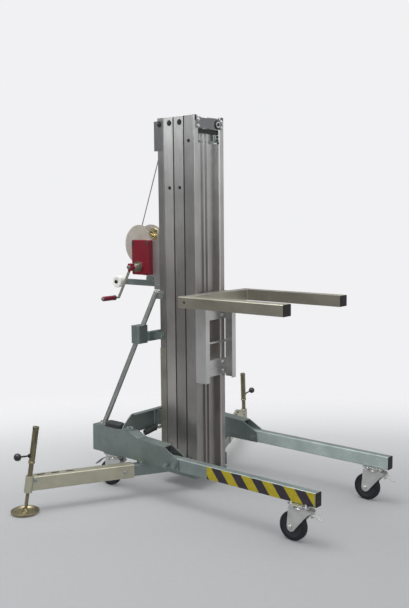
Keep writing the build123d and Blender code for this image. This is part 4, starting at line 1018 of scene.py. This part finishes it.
def add_camera():
    """The camera at the photograph's viewing angle, from its place and three angles."""
    place = at(*CAMERA_PLACE)
    ahead = Vector((-math.sin(AZIMUTH) * math.cos(PITCH), math.cos(AZIMUTH) * math.cos(PITCH),
                    -math.sin(PITCH)))
    level_right = ahead.cross(Vector(UP_AXIS)).normalized()
    level_up = level_right.cross(ahead)
    right = math.cos(ROLL) * level_right + math.sin(ROLL) * level_up
    up = -math.sin(ROLL) * level_right + math.cos(ROLL) * level_up
    data = bpy.data.cameras.new("camera")
    data.sensor_fit = "VERTICAL"
    data.sensor_height = SENSOR_HEIGHT
    data.lens = FOCAL_LENGTH
    camera = bpy.data.objects.new("camera", data)
    camera.matrix_world = Matrix((
        (right.x, up.x, -ahead.x, place.x), (right.y, up.y, -ahead.y, place.y),
        (right.z, up.z, -ahead.z, place.z), (0, 0, 0, 1),
    ))
    bpy.context.collection.objects.link(camera)
    bpy.context.scene.camera = camera
    bpy.context.scene.view_settings.view_transform = "Standard"


add_camera()

# ------------------------------------------------------------ floor, world and lights
FLOOR_SIZE = 60.0
# The floor's painted light and shade run in rings round a place (m) under the camera, darker
# near it and lighter outward; the greys and the fade into the background are given at shares of
# this reach (m).
FLOOR_CENTRE, FLOOR_REACH = (2.39, -3.04), 8.0
FLOOR_PAINTED_LIGHT = [
    (0.42, (0.32, 0.325, 0.335)), (0.49, (0.36, 0.365, 0.375)), (0.53, (0.40, 0.405, 0.415)),
    (0.575, (0.46, 0.465, 0.475)), (0.63, (0.56, 0.565, 0.575)), (0.75, (0.82, 0.82, 0.84)),
]
FLOOR_FADE = [(0.61, 0.0), (0.775, 1.0)]
BACKGROUND = (0.88, 0.88, 0.895, 1)
# The room's light grows brighter towards this direction.
ROOM_DIRECTION, ROOM_RANGE = (0.9, 0.35, 0.9), (-1.3, 1.3)
ROOM_GREYS = [(0.0, 0.10), (0.45, 0.34), (0.75, 0.85), (1.0, 1.0)]
ROOM_STRENGTH = 0.85


def studio_floor():
    """Pale matt floor with painted light and shade, darker near the camera and under the object,
    lighter further out and clear far away.
    """
    made, tree, shader = nodes_of("studio_floor")
    coords = tree.nodes.new("ShaderNodeTexCoord")
    offset = tree.nodes.new("ShaderNodeMapping")
    offset.inputs["Location"].default_value = (-FLOOR_CENTRE[0], -FLOOR_CENTRE[1], 0)
    tree.links.new(coords.outputs["Object"], offset.inputs["Vector"])
    length = tree.nodes.new("ShaderNodeVectorMath")
    length.operation = "LENGTH"
    tree.links.new(offset.outputs["Vector"], length.inputs[0])
    reach = map_range(tree, length.outputs["Value"], 0.0, FLOOR_REACH)
    fine = noise(tree, object_vector(tree, (1, 1, 1)), 40.0, 6.0)
    tone = ramp(tree, fine, [(0.3, 0.97), (0.7, 1.0)])
    # painted light and shade: the floor's grey by distance from the place under the camera
    tree.links.new(times(tree, ramp(tree, reach, FLOOR_PAINTED_LIGHT), tone), shader.inputs["Base Color"])
    shader.inputs["Roughness"].default_value = 0.75
    clear = tree.nodes.new("ShaderNodeBsdfTransparent")
    fade = tree.nodes.new("ShaderNodeMixShader")
    tree.links.new(ramp(tree, reach, FLOOR_FADE), fade.inputs["Fac"])
    tree.links.new(shader.outputs["BSDF"], fade.inputs[1])
    tree.links.new(clear.outputs["BSDF"], fade.inputs[2])
    tree.links.new(fade.outputs["Shader"], tree.nodes["Material Output"].inputs["Surface"])
    return made


def add_floor():
    """A square floor with its middle under the object."""
    half = FLOOR_SIZE / 2
    corners = [(-half, -half, 0), (half, -half, 0), (half, half, 0), (-half, half, 0)]
    mesh = bpy.data.meshes.new("floor")
    mesh.from_pydata(corners, [], [(0, 1, 2, 3)])
    mesh.materials.append(studio_floor())
    floor = bpy.data.objects.new("floor", mesh)
    bpy.context.collection.objects.link(floor)


def add_world():
    """A graded room that lights the object, behind a plain pale background."""
    world = bpy.data.worlds.new("studio")
    bpy.context.scene.world = world
    world.use_nodes = True
    tree = world.node_tree
    room = tree.nodes["Background"]
    coords = tree.nodes.new("ShaderNodeTexCoord")
    direction = tree.nodes.new("ShaderNodeVectorMath")
    direction.operation = "DOT_PRODUCT"
    direction.inputs[1].default_value = ROOM_DIRECTION
    tree.links.new(coords.outputs["Generated"], direction.inputs[0])
    share = map_range(tree, direction.outputs["Value"], *ROOM_RANGE)
    tree.links.new(ramp(tree, share, ROOM_GREYS), room.inputs["Color"])
    room.inputs["Strength"].default_value = ROOM_STRENGTH
    seen = add(tree, "ShaderNodeBackground", Strength=1.0)
    seen.inputs["Color"].default_value = BACKGROUND
    paths = tree.nodes.new("ShaderNodeLightPath")
    choose = tree.nodes.new("ShaderNodeMixShader")
    tree.links.new(paths.outputs["Is Camera Ray"], choose.inputs["Fac"])
    tree.links.new(room.outputs["Background"], choose.inputs[1])
    tree.links.new(seen.outputs["Background"], choose.inputs[2])
    tree.links.new(choose.outputs["Shader"], tree.nodes["World Output"].inputs["Surface"])


def softbox(name, place, target, size, power, shadow=True):
    """A square area light that looks at a point; places and size in metres, power in watts."""
    data = bpy.data.lights.new(name, "AREA")
    data.shape = "SQUARE"
    data.size = size
    data.energy = power
    data.use_shadow = shadow
    light = bpy.data.objects.new(name, data)
    light.location = place
    light.rotation_euler = (Vector(target) - Vector(place)).to_track_quat("-Z", "Y").to_euler()
    bpy.context.collection.objects.link(light)


add_floor()
add_world()
softbox("overhead", (-0.6, -0.8, 4.6), (0, 0, 0.8), 3.0, 130)
softbox("front_fill", (3.2, -0.9, 2.0), (0, 0, 1.2), 1.6, 16)
softbox("near_key", (-1.5, -3.0, 3.6), (-0.25, -0.1, 1.75), 1.4, 90, False)
